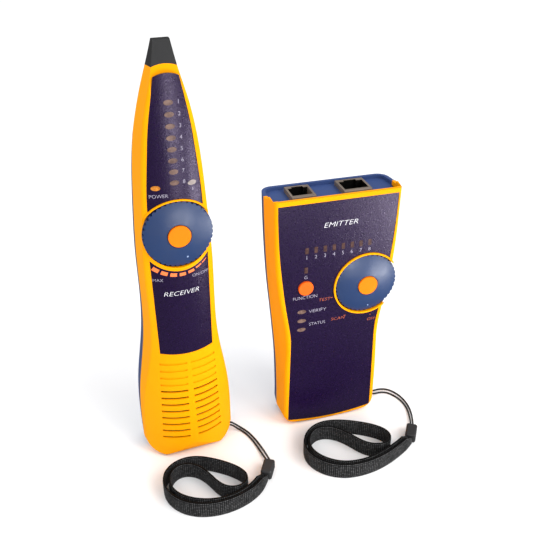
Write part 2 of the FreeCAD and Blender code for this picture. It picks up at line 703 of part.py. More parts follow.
def webbing(name, points, ends):
    """Band that stands on its edge: its centreline widened on both sides, raised, then tapered at its ends."""
    path, length, tightest = rounded_path([vec(x, y, 0) for x, y in points])
    outer = path.makeOffset2D(WEB_THICK / 2)
    band = Part.Face(outer).extrude(vec(0, 0, WEB_HIGH)).cut(sloping_end(*ends))
    print(name, "length", round(length, 1), "smallest radius", round(tightest, 1))
    return band


def ferrule(near, far):
    """Sleeve that joins the webbing to the string; near is the webbing end, both at floor level."""
    length, width, height = FERRULE
    angle = math.degrees(math.atan2(far[1] - near[1], far[0] - near[0]))
    block = box(0, length, -width / 2, width / 2, 0, height)
    block = block.makeFillet(FERRULE_R, block.Edges)
    block.rotate(vec(0, 0, 0), vec(0, 0, 1), angle)
    block.translate(vec(near[0], near[1], 0))
    return block


# ---------------------------------------------------------------- wrist straps

def anchor_lug(anchor):
    x, y, z0, z1 = anchor
    inner, outer, wide, rise = LUG
    return box(x - inner, x + outer, y - wide, y + wide, z0 - rise, z1 + rise)


def anchor_slot(anchor):
    x, y, z0, z1 = anchor
    inner, outer, wide = ANCHOR_SLOT
    slot = box(x - inner, x + outer, y - wide, y + wide, z0, z1)
    return slot.fuse(anchor_pin(anchor))


def anchor_pin(anchor):
    x, y, z0, z1 = anchor
    return Part.makeCylinder(PIN_R, z1 - z0 + 2 * PIN_END, vec(x, y, z0 - PIN_END))


def strap_pieces(prefix, string_a, string_b, ends, band):
    return {
        prefix + "_strap_string_outer": cord(prefix + " outer strand", string_a, STRING_D),
        prefix + "_strap_string_inner": cord(prefix + " inner strand", string_b, STRING_D),
        prefix + "_strap_ferrule": ferrule(*ends),
        prefix + "_strap_webbing": webbing(prefix + " webbing", band, ends),
    }


# ---------------------------------------------------------------- receiver

def receiver_outline(side, inset, y):
    points = [(side[0][0], side[0][1] + 6.0)] + side[1:]
    return outline(points, R_LOW, R_BOTTOM_R, R_CORNER_R, inset, y)


def receiver_profile(inset):
    """Side view, extruded across the device: straight face, nose and back that thin towards the tip."""
    face = R_CROWN_Y + inset - 0.1
    back = R_DEPTH - inset
    top = R_TOP - inset
    slope = smooth([vec(-40, 7.4 - inset, top), vec(-40, 11.0 - inset, 221), vec(-40, 17.6 - inset, 190),
                    vec(-40, 22.8 - inset, 155), vec(-40, 26.3 - inset, 120), vec(-40, back, 88)])
    corners = [vec(-40, back, 88), vec(-40, back, -20), vec(-40, face, -20), vec(-40, face, 206),
               vec(-40, 1.0 + inset, top), vec(-40, 7.4 - inset, top)]
    edges = [Part.LineSegment(p, q).toShape() for p, q in zip(corners, corners[1:])]
    return Part.Face(Part.Wire([slope] + edges)).extrude(vec(80, 0, 0))


def crown(inset):
    return Part.makeCylinder(R_CROWN_R - inset, 260, vec(0, R_CROWN_Y + R_CROWN_R, -10))


def chin(inset):
    """Material outside the rounded lower edge of the receiver's face."""
    radius = R_CHIN_R - inset
    y = R_CROWN_Y + inset + radius
    z = R_LOW + inset + radius
    corner = box(-40, 40, -20, y, -20, z)
    return corner.cut(Part.makeCylinder(radius, 80, vec(-40, y, z), vec(1, 0, 0)))


def facing(face):
    u0, u1, v0, v1 = face.ParameterRange
    return face.normalAt((u0 + u1) / 2, (v0 + v1) / 2)


def rim_edges(shape, front):
    """Edges where the side walls meet the face (front) or the back of a device."""
    sign = -1 if front else 1
    found = []
    for edge in shape.Edges:
        pair = [facing(f).y * sign for f in shape.ancestorsOfType(edge, Part.Face)]
        if len(pair) == 2 and max(pair) > 0.75 and abs(min(pair)) < 0.5:
            found.append(edge)
    return found


def receiver_blank(inset):
    front = Part.makeLoft([receiver_outline(R_FRONT_SIDE, inset, R_FRONT_Y),
                           receiver_outline(R_PART_SIDE, inset, R_PART)], True, True)
    back = Part.makeLoft([receiver_outline(R_PART_SIDE, inset, R_PART),
                          receiver_outline(R_PART_SIDE, inset + R_BACK_INSET, R_BACK_Y)], True, True)
    return front.fuse(back).common(crown(inset)).common(receiver_profile(inset))


def receiver_outer():
    blank = receiver_blank(0)
    back, front = R_OUTER_FILLETS
    rounded = blank.makeFillet(back, rim_edges(blank, False))
    face_edges = [e for e in rim_edges(rounded, True) if e.BoundBox.ZMax < R_TOP - 0.5]
    return rounded.makeFillet(front, face_edges).cut(chin(0))


def above_joint(gap):
    """Everything above the arched joint between the front cover and the probe tip."""
    z = R_JOINT_Z + gap
    half = 9.0
    arch = Part.Arc(vec(half, -30, z), vec(0, -30, z + R_JOINT_RISE), vec(-half, -30, z)).toShape()
    sides = [vec(-half, -30, z), vec(-30, -30, z), vec(-30, -30, 250), vec(30, -30, 250), vec(30, -30, z),
             vec(half, -30, z)]
    lines = [Part.LineSegment(p, q).toShape() for p, q in zip(sides, sides[1:])]
    return prism(Part.Wire([arch] + lines), 100)


def crown_skin(depth_out, depth_in):
    """Curved layer between two depths behind the receiver's face."""
    return crown(depth_out).cut(crown(depth_in)).common(box(-40, 40, -20, 12, -1, 240))


def upper_panel_wire(inset):
    y = -12
    points = [(w - inset, z) for w, z in R_UPPER_SIDE]
    points[0] = (points[0][0], points[0][1] - inset)
    top_w, top_z = points[0]
    low_w, low_z = points[-1]
    right = smooth([vec(w, y, z) for w, z in points])
    left = smooth([vec(-w, y, z) for w, z in reversed(points)])
    top = Part.Arc(vec(-top_w, y, top_z), vec(0, y, top_z + R_UPPER_RISE), vec(top_w, y, top_z)).toShape()
    bottom = Part.LineSegment(vec(low_w, y, low_z), vec(-low_w, y, low_z)).toShape()
    return Part.Wire([right, bottom, left, top])


def lower_panel_wire(inset):
    y = -12
    top_w = R_LOWER_HALF[0] - inset
    low_w = R_LOWER_HALF[1] - inset
    low_z = R_LOWER_BOTTOM + inset
    bottom = Part.Arc(vec(low_w, y, low_z), vec(0, y, low_z - R_LOWER_SAG), vec(-low_w, y, low_z)).toShape()
    corners = [vec(-low_w, y, low_z), vec(-top_w, y, R_LOWER_TOP), vec(top_w, y, R_LOWER_TOP),
               vec(low_w, y, low_z)]
    return Part.Wire([bottom] + [Part.LineSegment(p, q).toShape() for p, q in zip(corners, corners[1:])])


def receiver_panel_area(upper, inset):
    """Straight column through the face, in the outline of one panel."""
    if upper:
        area = prism(upper_panel_wire(inset), 30)
        return area.cut(rod_y(R_RING_UP + inset, 0, R_DIAL_Z, -20, 40))
    area = prism(lower_panel_wire(inset), 30)
    return area.cut(rod_y(R_RING_LOW + inset, 0, R_DIAL_Z, -20, 40))


def receiver_windows():
    half, rise = LEVEL_HALF
    heights = [LEVEL_FIRST - LEVEL_PITCH * i for i in range(LEVEL_COUNT)]
    return {"level": [(-half, half, z - rise, z + rise) for z in heights], "signal": [SIGNAL_WINDOW],
            "power": [POWER_WINDOW]}


def receiver_window_tools(y0, y1):
    return [oval_block(b, y0, y1) for bounds in receiver_windows().values() for b in bounds]


def receiver_window_set(kind):
    blocks = [oval_block(b, -8, R_WINDOW_BACK) for b in receiver_windows()[kind]]
    return group([b.common(crown(PANEL_RECESS - 0.15)) for b in blocks])


def receiver_leds():
    lamps = []
    for bounds in receiver_windows().values():
        for x0, x1, z0, z1 in bounds:
            lamps.append(rod_y(1.0, (x0 + x1) / 2, (z0 + z1) / 2, R_LAMP_FRONT, R_BOARD_Y))
    return group(lamps)


def slot_tools(first, count, y0, y1):
    """Two columns of level slots; the bridge between the columns widens downwards."""
    tools = []
    for i in range(first, first + count):
        z = SLOT_LOW + SLOT_PITCH * i
        inner = SLOT_INNER[0] - SLOT_INNER[1] * i
        outer = SLOT_OUTER[0] - SLOT_OUTER[1] * i
        for side in (-1, 1):
            x0, x1 = sorted((side * inner, side * outer))
            tools.append(rounded_block(x0, x1, y0, y1, z - SLOT_HIGH / 2, z + SLOT_HIGH / 2, SLOT_R))
    return tools


def ear_rod(radius, x0, x1):
    return Part.makeCylinder(radius, x1 - x0, vec(x0, EAR_Y, EAR_Z), vec(1, 0, 0))


def receiver_back_region():
    """Space of the back cover: behind the parting plane, up to where the nose begins."""
    return box(-60, 60, R_PART, 60, -5, R_BACK_TOP)


def receiver_front_cover():
    body = receiver_outer()
    outer = body.cut(receiver_back_region())
    hollow = receiver_blank(WALL).cut(chin(WALL)).common(box(-60, 60, -20, R_PART + 1, -5, 250))
    half, skin, low, high = GRILLE_POCKET
    pocket = box(-half, half, -20, R_BOARD_Y, low, high).common(crown(skin))
    shell = outer.cut(hollow).cut(pocket).cut(above_joint(0))
    full = receiver_blank(0)
    ring = rod_y(R_RING_UP, 0, R_DIAL_Z, -10, R_WELL_FLOOR + R_BOWL_THICK).common(crown(-R_RING_RISE))
    ring = ring.common(Part.makeLoft([receiver_outline(R_FRONT_SIDE, 0, -6), receiver_outline(R_FRONT_SIDE, 0, 4)],
                                     True, True))
    bowl = rod_y(R_RING_UP, 0, R_DIAL_Z, -10, R_WELL_FLOOR + R_BOWL_THICK).common(full)
    posts = [rod_y(BOSS_R, sx, sz, -8, R_PART - 0.05).common(outer) for sx, sz in R_SCREWS]
    lug = anchor_lug(R_ANCHOR).common(outer)
    shell = shell.multiFuse([ring, bowl, lug] + posts)
    bolts = [rod_y(SCREW_R, sx, sz, 4.5, 40) for sx, sz in R_SCREWS]
    tools = [
        rod_y(R_DIAL_R + DIAL_GAP, 0, R_DIAL_Z, -20, R_WELL_FLOOR),
        rod_y(SHAFT_HOLE_R, 0, R_DIAL_Z, -5, 6),
        receiver_panel_area(True, 0).cut(crown(PANEL_RECESS + PANEL_THICK)),
        receiver_panel_area(False, 0).cut(crown(PANEL_RECESS + PANEL_THICK)),
        anchor_slot(R_ANCHOR), below_floor(),
    ]
    tools += slot_tools(0, OPEN_SLOTS, -12, 12)
    blind = group(slot_tools(OPEN_SLOTS, BLIND_SLOTS, -12, 12)).cut(crown(BLIND_DEPTH))
    return shell.cut(group(tools + bolts + receiver_window_tools(-12, 1.2))).cut(blind)


def receiver_panel(upper):
    skin = crown_skin(PANEL_RECESS, PANEL_RECESS + PANEL_THICK)
    plate = skin.common(receiver_panel_area(upper, 0.08))
    return plate.cut(group(receiver_window_tools(-12, 5))) if upper else plate


def receiver_back_cover():
    body = receiver_outer()
    outer = body.common(receiver_back_region())
    shell = outer.cut(receiver_blank(WALL))
    posts = [rod_y(BOSS_R, sx, sz, R_PART + 0.05, R_DEPTH + 2).common(outer) for sx, sz in R_SCREWS]
    shell = shell.multiFuse(posts)
    tools = [door_zone(R_DOOR, R_PART, DOOR_GAP), below_floor(),
             ear_rod(EAR_NOSE_R + 0.05, EAR_MOUTH - 4, EAR_MOUTH + EAR_NOSE + 0.5)]
    tools += [rod_y(SCREW_R + 0.3, sx, sz, 10, 40) for sx, sz in R_SCREWS]
    tools += [rod_y(SCREW_HEAD_R + 0.3, sx, sz, R_PART + R_SCREW_HEAD, 40) for sx, sz in R_SCREWS]
    return shell.cut(group(tools))


def receiver_battery_cover():
    shell = receiver_outer().cut(receiver_blank(WALL))
    return shell.common(door_zone(R_DOOR, R_PART, 0)).cut(thumb_grooves(R_DOOR_GRIPS, R_DEPTH))


def receiver_probe_tip():
    outer = receiver_outer().common(above_joint(0))
    spigot_area = box(-60, 60, -20, 60, SPIGOT_LOW, R_JOINT_Z + SPIGOT_HIGH)
    tip = outer.fuse(receiver_blank(WALL + SPIGOT_GAP).common(spigot_area))
    return tip.cut(Part.makeCylinder(PICKUP_R + SPIGOT_GAP, 40, vec(0, PICKUP_Y, PICKUP_TOP - 40)))


def pickup_rod():
    return Part.makeCylinder(PICKUP_R, PICKUP_TOP - PICKUP_LOW, vec(0, PICKUP_Y, PICKUP_LOW))


def pickup_coil():
    coil = Part.makeCylinder(COIL_R, COIL_HIGH - COIL_LOW, vec(0, PICKUP_Y, COIL_LOW))
    return coil.cut(pickup_rod())


def receiver_board():
    back = R_BOARD_Y
    right = [vec(w, back, z) for w, z in R_BOARD]
    left = [vec(-w, back, z) for w, z in reversed(R_BOARD)]
    plate = prism(Part.makePolygon(right + left + [right[0]]), BOARD_THICK)
    posts = [rod_y(BOSS_R + 0.4, sx, sz, 0, 20) for sx, sz in R_SCREWS]
    return plate.cut(group([rod_y(BUSHING_R, 0, R_DIAL_Z, 0, 20)] + posts))


def receiver_chips():
    back = R_BOARD_Y + BOARD_THICK
    return group([box(-5, 5, back, back + 2.0, 160, 170), box(-6, 6, back, back + 3.0, 92, 100),
                  box(-9, -5, back, back + 4.0, 108, 112)])


def speaker_frame():
    x, z, radius = SPEAKER
    frame = rod_y(radius, x, z, SPEAKER_FRONT, SPEAKER_BACK)
    cone = Part.makeCone(radius - CONE_RIM, CONE_SMALL, CONE_DEPTH, vec(x, SPEAKER_FRONT - 0.1, z), vec(0, 1, 0))
    return frame.cut(cone)


def speaker_magnet():
    x, z, _ = SPEAKER
    return rod_y(MAGNET[0], x, z, SPEAKER_BACK, MAGNET[1])


def receiver_stud_base():
    y, z = R_CELL_AT
    return vec(0, y + BLOCK_CELL[2] / 2, z + BLOCK_CELL[0] - STUD_HEIGHT)


def receiver_battery():
    long, wide, thick = BLOCK_CELL
    y, z = R_CELL_AT
    cell = box(-wide / 2, wide / 2, y, y + thick, z, z + long - STUD_HEIGHT)
    return cell.multiFuse(cell_studs(receiver_stud_base(), vec(1, 0, 0), vec(0, 0, 1)))


def receiver_snap():
    base = receiver_stud_base()
    near, far, wide = SNAP_PLATE
    half = BLOCK_CELL[1] / 2 - 0.75
    plate = box(-half, half, base.y - wide / 2, base.y + wide / 2, base.z + near, base.z + far)
    return plate.cut(group(cell_studs(base, vec(1, 0, 0), vec(0, 0, 1))))


def earphone_socket():
    x0, x1, half = EAR_BODY
    body = box(x0, x1, EAR_Y - half, EAR_Y + half, EAR_Z - half, EAR_Z + half)
    nose = ear_rod(EAR_NOSE_R, EAR_MOUTH, EAR_MOUTH + EAR_NOSE)
    return nose.fuse(body).cut(ear_rod(EAR_R, EAR_MOUTH - 1, x1 - EAR_WALL))


def screws(places, tip_y, head_y):
    """Self-tapping screws driven from the back, each with a cross slot in its head."""
    pieces = []
    back_y = head_y + HEAD_THICK
    for x, z in places:
        screw = rod_y(SCREW_R, x, z, tip_y, head_y + 0.5).fuse(rod_y(SCREW_HEAD_R, x, z, head_y, back_y))
        long, half, deep = CROSS
        cross = [box(x - long, x + long, back_y - deep, back_y + 1, z - half, z + half),
                 box(x - half, x + half, back_y - deep, back_y + 1, z - long, z + long)]
        pieces.append(screw.cut(group(cross)))
    return group(pieces)


# ---------------------------------------------------------------- the kit

def place_emitter(shape):
    placed = shape.copy()
    placed.translate(vec(EMITTER_X, EMITTER_Y, 0))
    return placed


def place_receiver(shape):
    placed = shape.copy()
    placed.rotate(vec(0, 0, 0), vec(0, 0, 1), RECEIVER_YAW)
    placed.translate(vec(RECEIVER_X, RECEIVER_Y, 0))
    return placed


def emitter_pieces():
    dial_back = E_WELL_FLOOR - 0.3
    return {
        "front_cover": emitter_front_cover(),
        "back_cover": emitter_back_cover(),
        "front_panel": emitter_panel(),
        "dial": to_dial(dial(E_DIAL_R, E_DIAL_FRONT, dial_back, *E_DOT), E_DIAL),
        "dial_cap": to_dial(dial_cap(E_DIAL_FRONT), E_DIAL),
        "switch_shaft": to_dial(shaft(dial_back, E_ROTARY[2]), E_DIAL),
        "rotary_switch": to_dial(rotary_body(E_BOARD_Y, *E_ROTARY[:2]), E_DIAL),
        "function_button": function_button(),
        "button_plunger": button_plunger(),
        "button_switch": button_switch(),
        "wire_windows": window_set("wire"),
        "ground_window": window_set("ground"),
        "status_windows": window_set("status"),
        "indicator_leds": emitter_leds(),
        "circuit_board": emitter_board(),
        "board_chips": emitter_chips(),
        "phone_jack": jack("phone"),
        "network_jack": jack("network"),
        "phone_contacts": jack_contacts("phone"),
        "network_contacts": jack_contacts("network"),
        "battery": emitter_battery(),
        "battery_snap": emitter_snap(),
        "battery_cover": emitter_battery_cover(),
        "case_screws": screws(E_SCREWS, 7.0, E_DEPTH - E_SCREW_HEAD),
        "strap_pin": anchor_pin(E_ANCHOR),
    }


def receiver_pieces():
    dial_back = R_WELL_FLOOR - 0.3
    centre = (0.0, R_DIAL_Z)
    return {
        "front_cover": receiver_front_cover(),
        "back_cover": receiver_back_cover(),
        "probe_tip": receiver_probe_tip(),
        "upper_panel": receiver_panel(True),
        "lower_panel": receiver_panel(False),
        "dial": to_dial(dial(R_DIAL_R, R_DIAL_FRONT, dial_back, *R_DOT), centre),
        "dial_cap": to_dial(dial_cap(R_DIAL_FRONT), centre),
        "control_shaft": to_dial(shaft(dial_back, R_ROTARY[2]), centre),
        "volume_control": to_dial(rotary_body(R_BOARD_Y, *R_ROTARY[:2]), centre),
        "level_windows": receiver_window_set("level"),
        "signal_window": receiver_window_set("signal"),
        "power_window": receiver_window_set("power"),
        "indicator_leds": receiver_leds(),
        "circuit_board": receiver_board(),
        "board_chips": receiver_chips(),
        "pickup_rod": pickup_rod(),
        "pickup_coil": pickup_coil(),
        "speaker_frame": speaker_frame(),
        "speaker_magnet": speaker_magnet(),
        "earphone_socket": earphone_socket(),
        "battery": receiver_battery(),
        "battery_snap": receiver_snap(),
        "battery_cover": receiver_battery_cover(),
        "case_screws": screws(R_SCREWS, 5.5, R_PART + R_SCREW_HEAD),
        "strap_pin": anchor_pin(R_ANCHOR),
    }


def main():
    os.makedirs("parts", exist_ok=True)
    kit = {"emitter_" + name: place_emitter(shape) for name, shape in emitter_pieces().items()}
    kit.update({"receiver_" + name: place_receiver(shape) for name, shape in receiver_pieces().items()})
    straps = strap_pieces("emitter", E_STRING_A, E_STRING_B, E_FERRULE, E_WEBBING)
    straps.update(strap_pieces("receiver", R_STRING_A, R_STRING_B, R_FERRULE, R_WEBBING))
    kit.update({name: place_emitter(shape) for name, shape in straps.items()})
    for name, shape in kit.items():
        if not shape.isValid():
            print("not valid:", name)
        shape.exportStep("parts/" + name + ".step")


main()
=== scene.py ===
import json
import math
import bpy
from mathutils import Matrix, Vector


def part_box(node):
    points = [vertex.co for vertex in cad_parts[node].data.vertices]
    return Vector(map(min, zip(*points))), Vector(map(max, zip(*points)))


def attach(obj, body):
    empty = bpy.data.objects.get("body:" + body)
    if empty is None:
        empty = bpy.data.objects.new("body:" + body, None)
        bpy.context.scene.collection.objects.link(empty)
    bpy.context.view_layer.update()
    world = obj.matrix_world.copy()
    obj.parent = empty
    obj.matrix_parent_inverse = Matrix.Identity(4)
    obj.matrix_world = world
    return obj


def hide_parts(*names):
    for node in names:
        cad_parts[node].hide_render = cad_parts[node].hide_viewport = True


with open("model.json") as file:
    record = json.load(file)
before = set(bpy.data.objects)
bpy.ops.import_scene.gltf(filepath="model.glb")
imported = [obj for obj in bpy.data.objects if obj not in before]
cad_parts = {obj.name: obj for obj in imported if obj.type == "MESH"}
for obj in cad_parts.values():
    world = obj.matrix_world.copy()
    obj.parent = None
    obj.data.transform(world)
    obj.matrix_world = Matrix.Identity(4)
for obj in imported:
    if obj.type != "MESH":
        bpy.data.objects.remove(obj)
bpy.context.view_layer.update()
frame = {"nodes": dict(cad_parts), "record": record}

# Metres, the CAD model's frame: +Z up. The emitter's face looks along -Y, the receiver's nearly so.

scene = bpy.context.scene
scene.view_settings.view_transform = "Standard"
joints = {j["name"]: j for j in frame["record"]["behaviour"]["joints"]}

# ---------------------------------------------------------------- places taken from the CAD model

mode_pivot = joints["emitter_dial_turn"]["pos_m"]
volume_joint = joints["receiver_volume_turn"]
E_DIAL_X = 0.0183
E_ORIGIN = Vector((mode_pivot[0] - E_DIAL_X, mode_pivot[1], 0.0))
R_ORIGIN = Vector((volume_joint["pos_m"][0], volume_joint["pos_m"][1], 0.0))
R_YAW = math.atan2(-volume_joint["axis"][0], volume_joint["axis"][1])
E_PLACE = Matrix.Translation(E_ORIGIN)
R_PLACE = Matrix.Translation(R_ORIGIN) @ Matrix.Rotation(R_YAW, 4, "Z")

# ---------------------------------------------------------------- camera

CAM_FROM_EMITTER = Vector((-0.1259, -0.3028, 0.2983))
CAM_LOOK = Vector((0.2468, 0.8223, -0.5128))
CAM_LENS = 45.5
CAM_SENSOR = 36.0
CAM_NEAR = 0.01
cam_data = bpy.data.cameras.new("camera")
cam_data.lens = CAM_LENS
cam_data.sensor_width = CAM_SENSOR
cam_data.clip_start = CAM_NEAR
camera = bpy.data.objects.new("camera", cam_data)
camera.location = E_ORIGIN + CAM_FROM_EMITTER
camera.rotation_euler = CAM_LOOK.to_track_quat("-Z", "Y").to_euler()
scene.collection.objects.link(camera)
scene.camera = camera

# ---------------------------------------------------------------- materials

def srgb(r, g, b):
    """8-bit display colour as linear values."""
    values = []
    for c in (r, g, b):
        c /= 255.0
        values.append(c / 12.92 if c <= 0.04045 else ((c + 0.055) / 1.055) ** 2.4)
    return values


NOISE_SPAN = (0.3, 0.7)
DEFAULT_DETAIL = 3.0


class Finish:
    """One procedural material: a base shader with noise-driven colour, roughness and relief."""

    def __init__(self, name, roughness, specular=0.5):
        self.material = bpy.data.materials.new(name)
        self.material.use_nodes = True
        self.tree = self.material.node_tree
        self.shader = self.tree.nodes["Principled BSDF"]
        self.shader.inputs["Roughness"].default_value = roughness
        self.shader.inputs["Specular IOR Level"].default_value = specular
        self.place = self.tree.nodes.new("ShaderNodeTexCoord").outputs["Object"]
        self.normal = None

    def node(self, kind, **settings):
        made = self.tree.nodes.new(kind)
        for key, value in settings.items():
            setattr(made, key, value)
        return made

    def link(self, a, b):
        self.tree.links.new(a, b)

    def noise(self, scale, detail=DEFAULT_DETAIL):
        made = self.node("ShaderNodeTexNoise")
        made.inputs["Scale"].default_value = scale
        made.inputs["Detail"].default_value = detail
        self.link(self.place, made.inputs["Vector"])
        return made.outputs["Fac"]

    def between(self, factor, low, high):
        """Map Range from the span where noise mostly lies to low..high."""
        made = self.node("ShaderNodeMapRange")
        made.inputs["From Min"].default_value = NOISE_SPAN[0]
        made.inputs["From Max"].default_value = NOISE_SPAN[1]
        made.inputs["To Min"].default_value = low
        made.inputs["To Max"].default_value = high
        self.link(factor, made.inputs["Value"])
        return made.outputs["Result"]

    def colour(self, first, second, factor):
        made = self.node("ShaderNodeMix", data_type="RGBA")
        made.inputs["A"].default_value = (*srgb(*first), 1.0)
        made.inputs["B"].default_value = (*srgb(*second), 1.0)
        self.link(factor, made.inputs["Factor"])
        self.link(made.outputs["Result"], self.shader.inputs["Base Color"])
        return made

    def rough(self, factor, low, high):
        self.link(self.between(factor, low, high), self.shader.inputs["Roughness"])

    def relief(self, height, distance, strength=1.0):
        made = self.node("ShaderNodeBump")
        made.inputs["Strength"].default_value = strength
        made.inputs["Distance"].default_value = distance
        self.link(height, made.inputs["Height"])
        if self.normal is not None:
            self.link(self.normal, made.inputs["Normal"])
        self.normal = made.outputs["Normal"]
        self.link(self.normal, self.shader.inputs["Normal"])


PLASTIC_GRAIN = 2600.0
PLASTIC_DEPTH = 0.00002
PLASTIC_DRIFT = 18.0
GLOSS_PER_DRIFT = 9.0
GLOSS_SPREAD = (-0.04, 0.05)


def moulded(name, first, second, roughness, specular=0.5, depth=PLASTIC_DEPTH, drift=PLASTIC_DRIFT):
    """Moulded plastic: slow drift of colour, fine spark-eroded grain, slightly uneven gloss."""
    finish = Finish(name, roughness, specular)
    finish.colour(first, second, finish.between(finish.noise(drift, 4.0), 0.0, 1.0))
    gloss = finish.noise(drift * GLOSS_PER_DRIFT, 2.0)
    finish.rough(gloss, roughness + GLOSS_SPREAD[0], roughness + GLOSS_SPREAD[1])
    finish.relief(finish.noise(PLASTIC_GRAIN, 2.0), depth)
    return finish


# Painted shade in slots and narrow gaps: ambient occlusion within this reach darkens the shell's colour.
GAP_REACH = 0.0024
GAP_SHARES = (0.10, 0.36)
GAP_SAMPLES = 8
# Dark brown of the painted shade in slots and gaps.
GAP_PAINTED_SHADE = (34, 14, 6)


def shell_plastic(name, first, second):
    """Shell plastic with painted shade: its colour turns dark brown deep inside slots and narrow gaps,
    where ambient occlusion is high.
    """
    finish = moulded(name, first, second, 0.45, 0.03)
    clean = finish.shader.inputs["Base Color"].links[0].from_socket
    occlusion = finish.node("ShaderNodeAmbientOcclusion", samples=GAP_SAMPLES)
    occlusion.inputs["Distance"].default_value = GAP_REACH
    unshaded_share = finish.node("ShaderNodeMapRange")
    unshaded_share.inputs["From Min"].default_value = GAP_SHARES[0]
    unshaded_share.inputs["From Max"].default_value = GAP_SHARES[1]
    finish.link(occlusion.outputs["AO"], unshaded_share.inputs["Value"])
    # Mix the painted shade into the clean colour where occlusion is high.
    painted_shade = finish.node("ShaderNodeMix", data_type="RGBA")
    painted_shade.inputs["A"].default_value = (*srgb(*GAP_PAINTED_SHADE), 1.0)
    finish.link(unshaded_share.outputs["Result"], painted_shade.inputs["Factor"])
    finish.link(clean, painted_shade.inputs["B"])
    finish.link(painted_shade.outputs["Result"], finish.shader.inputs["Base Color"])
    return finish


METAL_DRIFT = 120.0
METAL_SPREAD = (-0.06, 0.08)
METAL_DEPTH = 0.000008


def metal(name, first, second, roughness):
    """Bare metal: slow drift of colour, uneven gloss and very fine relief."""
    finish = Finish(name, roughness)
    finish.shader.inputs["Metallic"].default_value = 1.0
    finish.colour(first, second, finish.between(finish.noise(METAL_DRIFT, 4.0), 0.0, 1.0))
    gloss = finish.noise(METAL_DRIFT * 4.0, 3.0)
    finish.rough(gloss, roughness + METAL_SPREAD[0], roughness + METAL_SPREAD[1])
    finish.relief(finish.noise(METAL_DRIFT * 12.0, 2.0), METAL_DEPTH)
    return finish


FILM_TINT = (0.86, 0.74, 1.0, 1.0)
FILM_MOTTLE = 1500.0
FILM_GLOSS = 900.0
FILM_ROUGH = (0.25, 0.35)
FILM_GRAIN = 1750.0
FILM_DEPTH = 0.00009


def panel_film():
    """Dark printed film with a raised grain that catches the light as small sparks."""
    finish = Finish("panel_film", 0.3, 0.5)
    finish.shader.inputs["Specular Tint"].default_value = FILM_TINT
    finish.colour((18, 4, 36), (29, 12, 52), finish.between(finish.noise(FILM_MOTTLE, 2.0), 0.0, 1.0))
    finish.rough(finish.noise(FILM_GLOSS, 2.0), *FILM_ROUGH)
    finish.relief(finish.noise(FILM_GRAIN, 1.0), FILM_DEPTH, 0.9)
    return finish


WINDOW_DRIFT = 420.0
LENS_GRAIN = 1400.0
LENS_DEPTH = 0.00002


def amber_window():
    """Smoked lens over a light that is off: brown, darker in its depth, glossy."""
    finish = Finish("amber_window", 0.3, 0.14)
    finish.colour((82, 60, 54), (122, 98, 88), finish.between(finish.noise(WINDOW_DRIFT, 3.0), 0.0, 1.0))
    finish.relief(finish.noise(LENS_GRAIN, 1.0), LENS_DEPTH)
    return finish


WEAVE_SCALE = 400.0
WEAVE_CELL = 0.46
WEAVE_GAP = 0.12
WEAVE_SOFT = 0.6
WEAVE_DEPTH = 0.00012
THREAD_GRAIN = 5200.0
THREAD_DEPTH = 0.00003


def woven_band():
    """Polyester webbing; its UV map holds metres along the band and across it."""
    finish = Finish("woven_band", 0.62, 0.12)
    uv = finish.node("ShaderNodeUVMap", uv_map="band").outputs["UV"]
    weave = finish.node("ShaderNodeTexBrick", offset=0.0)
    weave.inputs["Color1"].default_value = (*srgb(84, 84, 85), 1.0)
    weave.inputs["Color2"].default_value = (*srgb(50, 50, 51), 1.0)
    weave.inputs["Mortar"].default_value = (*srgb(3, 3, 3), 1.0)
    weave.inputs["Scale"].default_value = WEAVE_SCALE
    weave.inputs["Brick Width"].default_value = WEAVE_CELL
    weave.inputs["Row Height"].default_value = WEAVE_CELL
    weave.inputs["Mortar Size"].default_value = WEAVE_GAP
    weave.inputs["Mortar Smooth"].default_value = WEAVE_SOFT
    finish.link(uv, weave.inputs["Vector"])
    finish.link(weave.outputs["Color"], finish.shader.inputs["Base Color"])
    crests = finish.node("ShaderNodeInvert")
    finish.link(weave.outputs["Fac"], crests.inputs["Color"])
    finish.relief(crests.outputs["Color"], WEAVE_DEPTH, 0.7)
    finish.relief(finish.noise(THREAD_GRAIN, 2.0), THREAD_DEPTH, 0.6)
    finish.shader.inputs["Sheen Weight"].default_value = 0.03
    finish.shader.inputs["Sheen Roughness"].default_value = 0.5
    return finish


BRAID_SCALE = 620.0
BRAID_DEPTH = 0.00008


def braided_string():
    """Braided cord: slanting bands of light and dark thread."""
    finish = Finish("braided_string", 0.6, 0.3)
    wave = finish.node("ShaderNodeTexWave", bands_direction="DIAGONAL")
    wave.inputs["Scale"].default_value = BRAID_SCALE
    wave.inputs["Distortion"].default_value = 1.5
    finish.link(finish.place, wave.inputs["Vector"])
    finish.colour((14, 14, 15), (36, 36, 38), wave.outputs["Fac"])
    finish.relief(wave.outputs["Fac"], BRAID_DEPTH)
    finish.shader.inputs["Sheen Weight"].default_value = 0.15
    return finish


INK_MOTTLE = 1900.0
INK_GRAIN = 2600.0
INK_RELIEF = 0.000015


def printed_ink(name, first, second):
    """Screen-printed ink with a slightly uneven film."""
    finish = Finish(name, 0.5, 0.3)
    finish.colour(first, second, finish.between(finish.noise(INK_MOTTLE, 2.0), 0.0, 1.0))
    finish.relief(finish.noise(INK_GRAIN, 2.0), INK_RELIEF)
    return finish


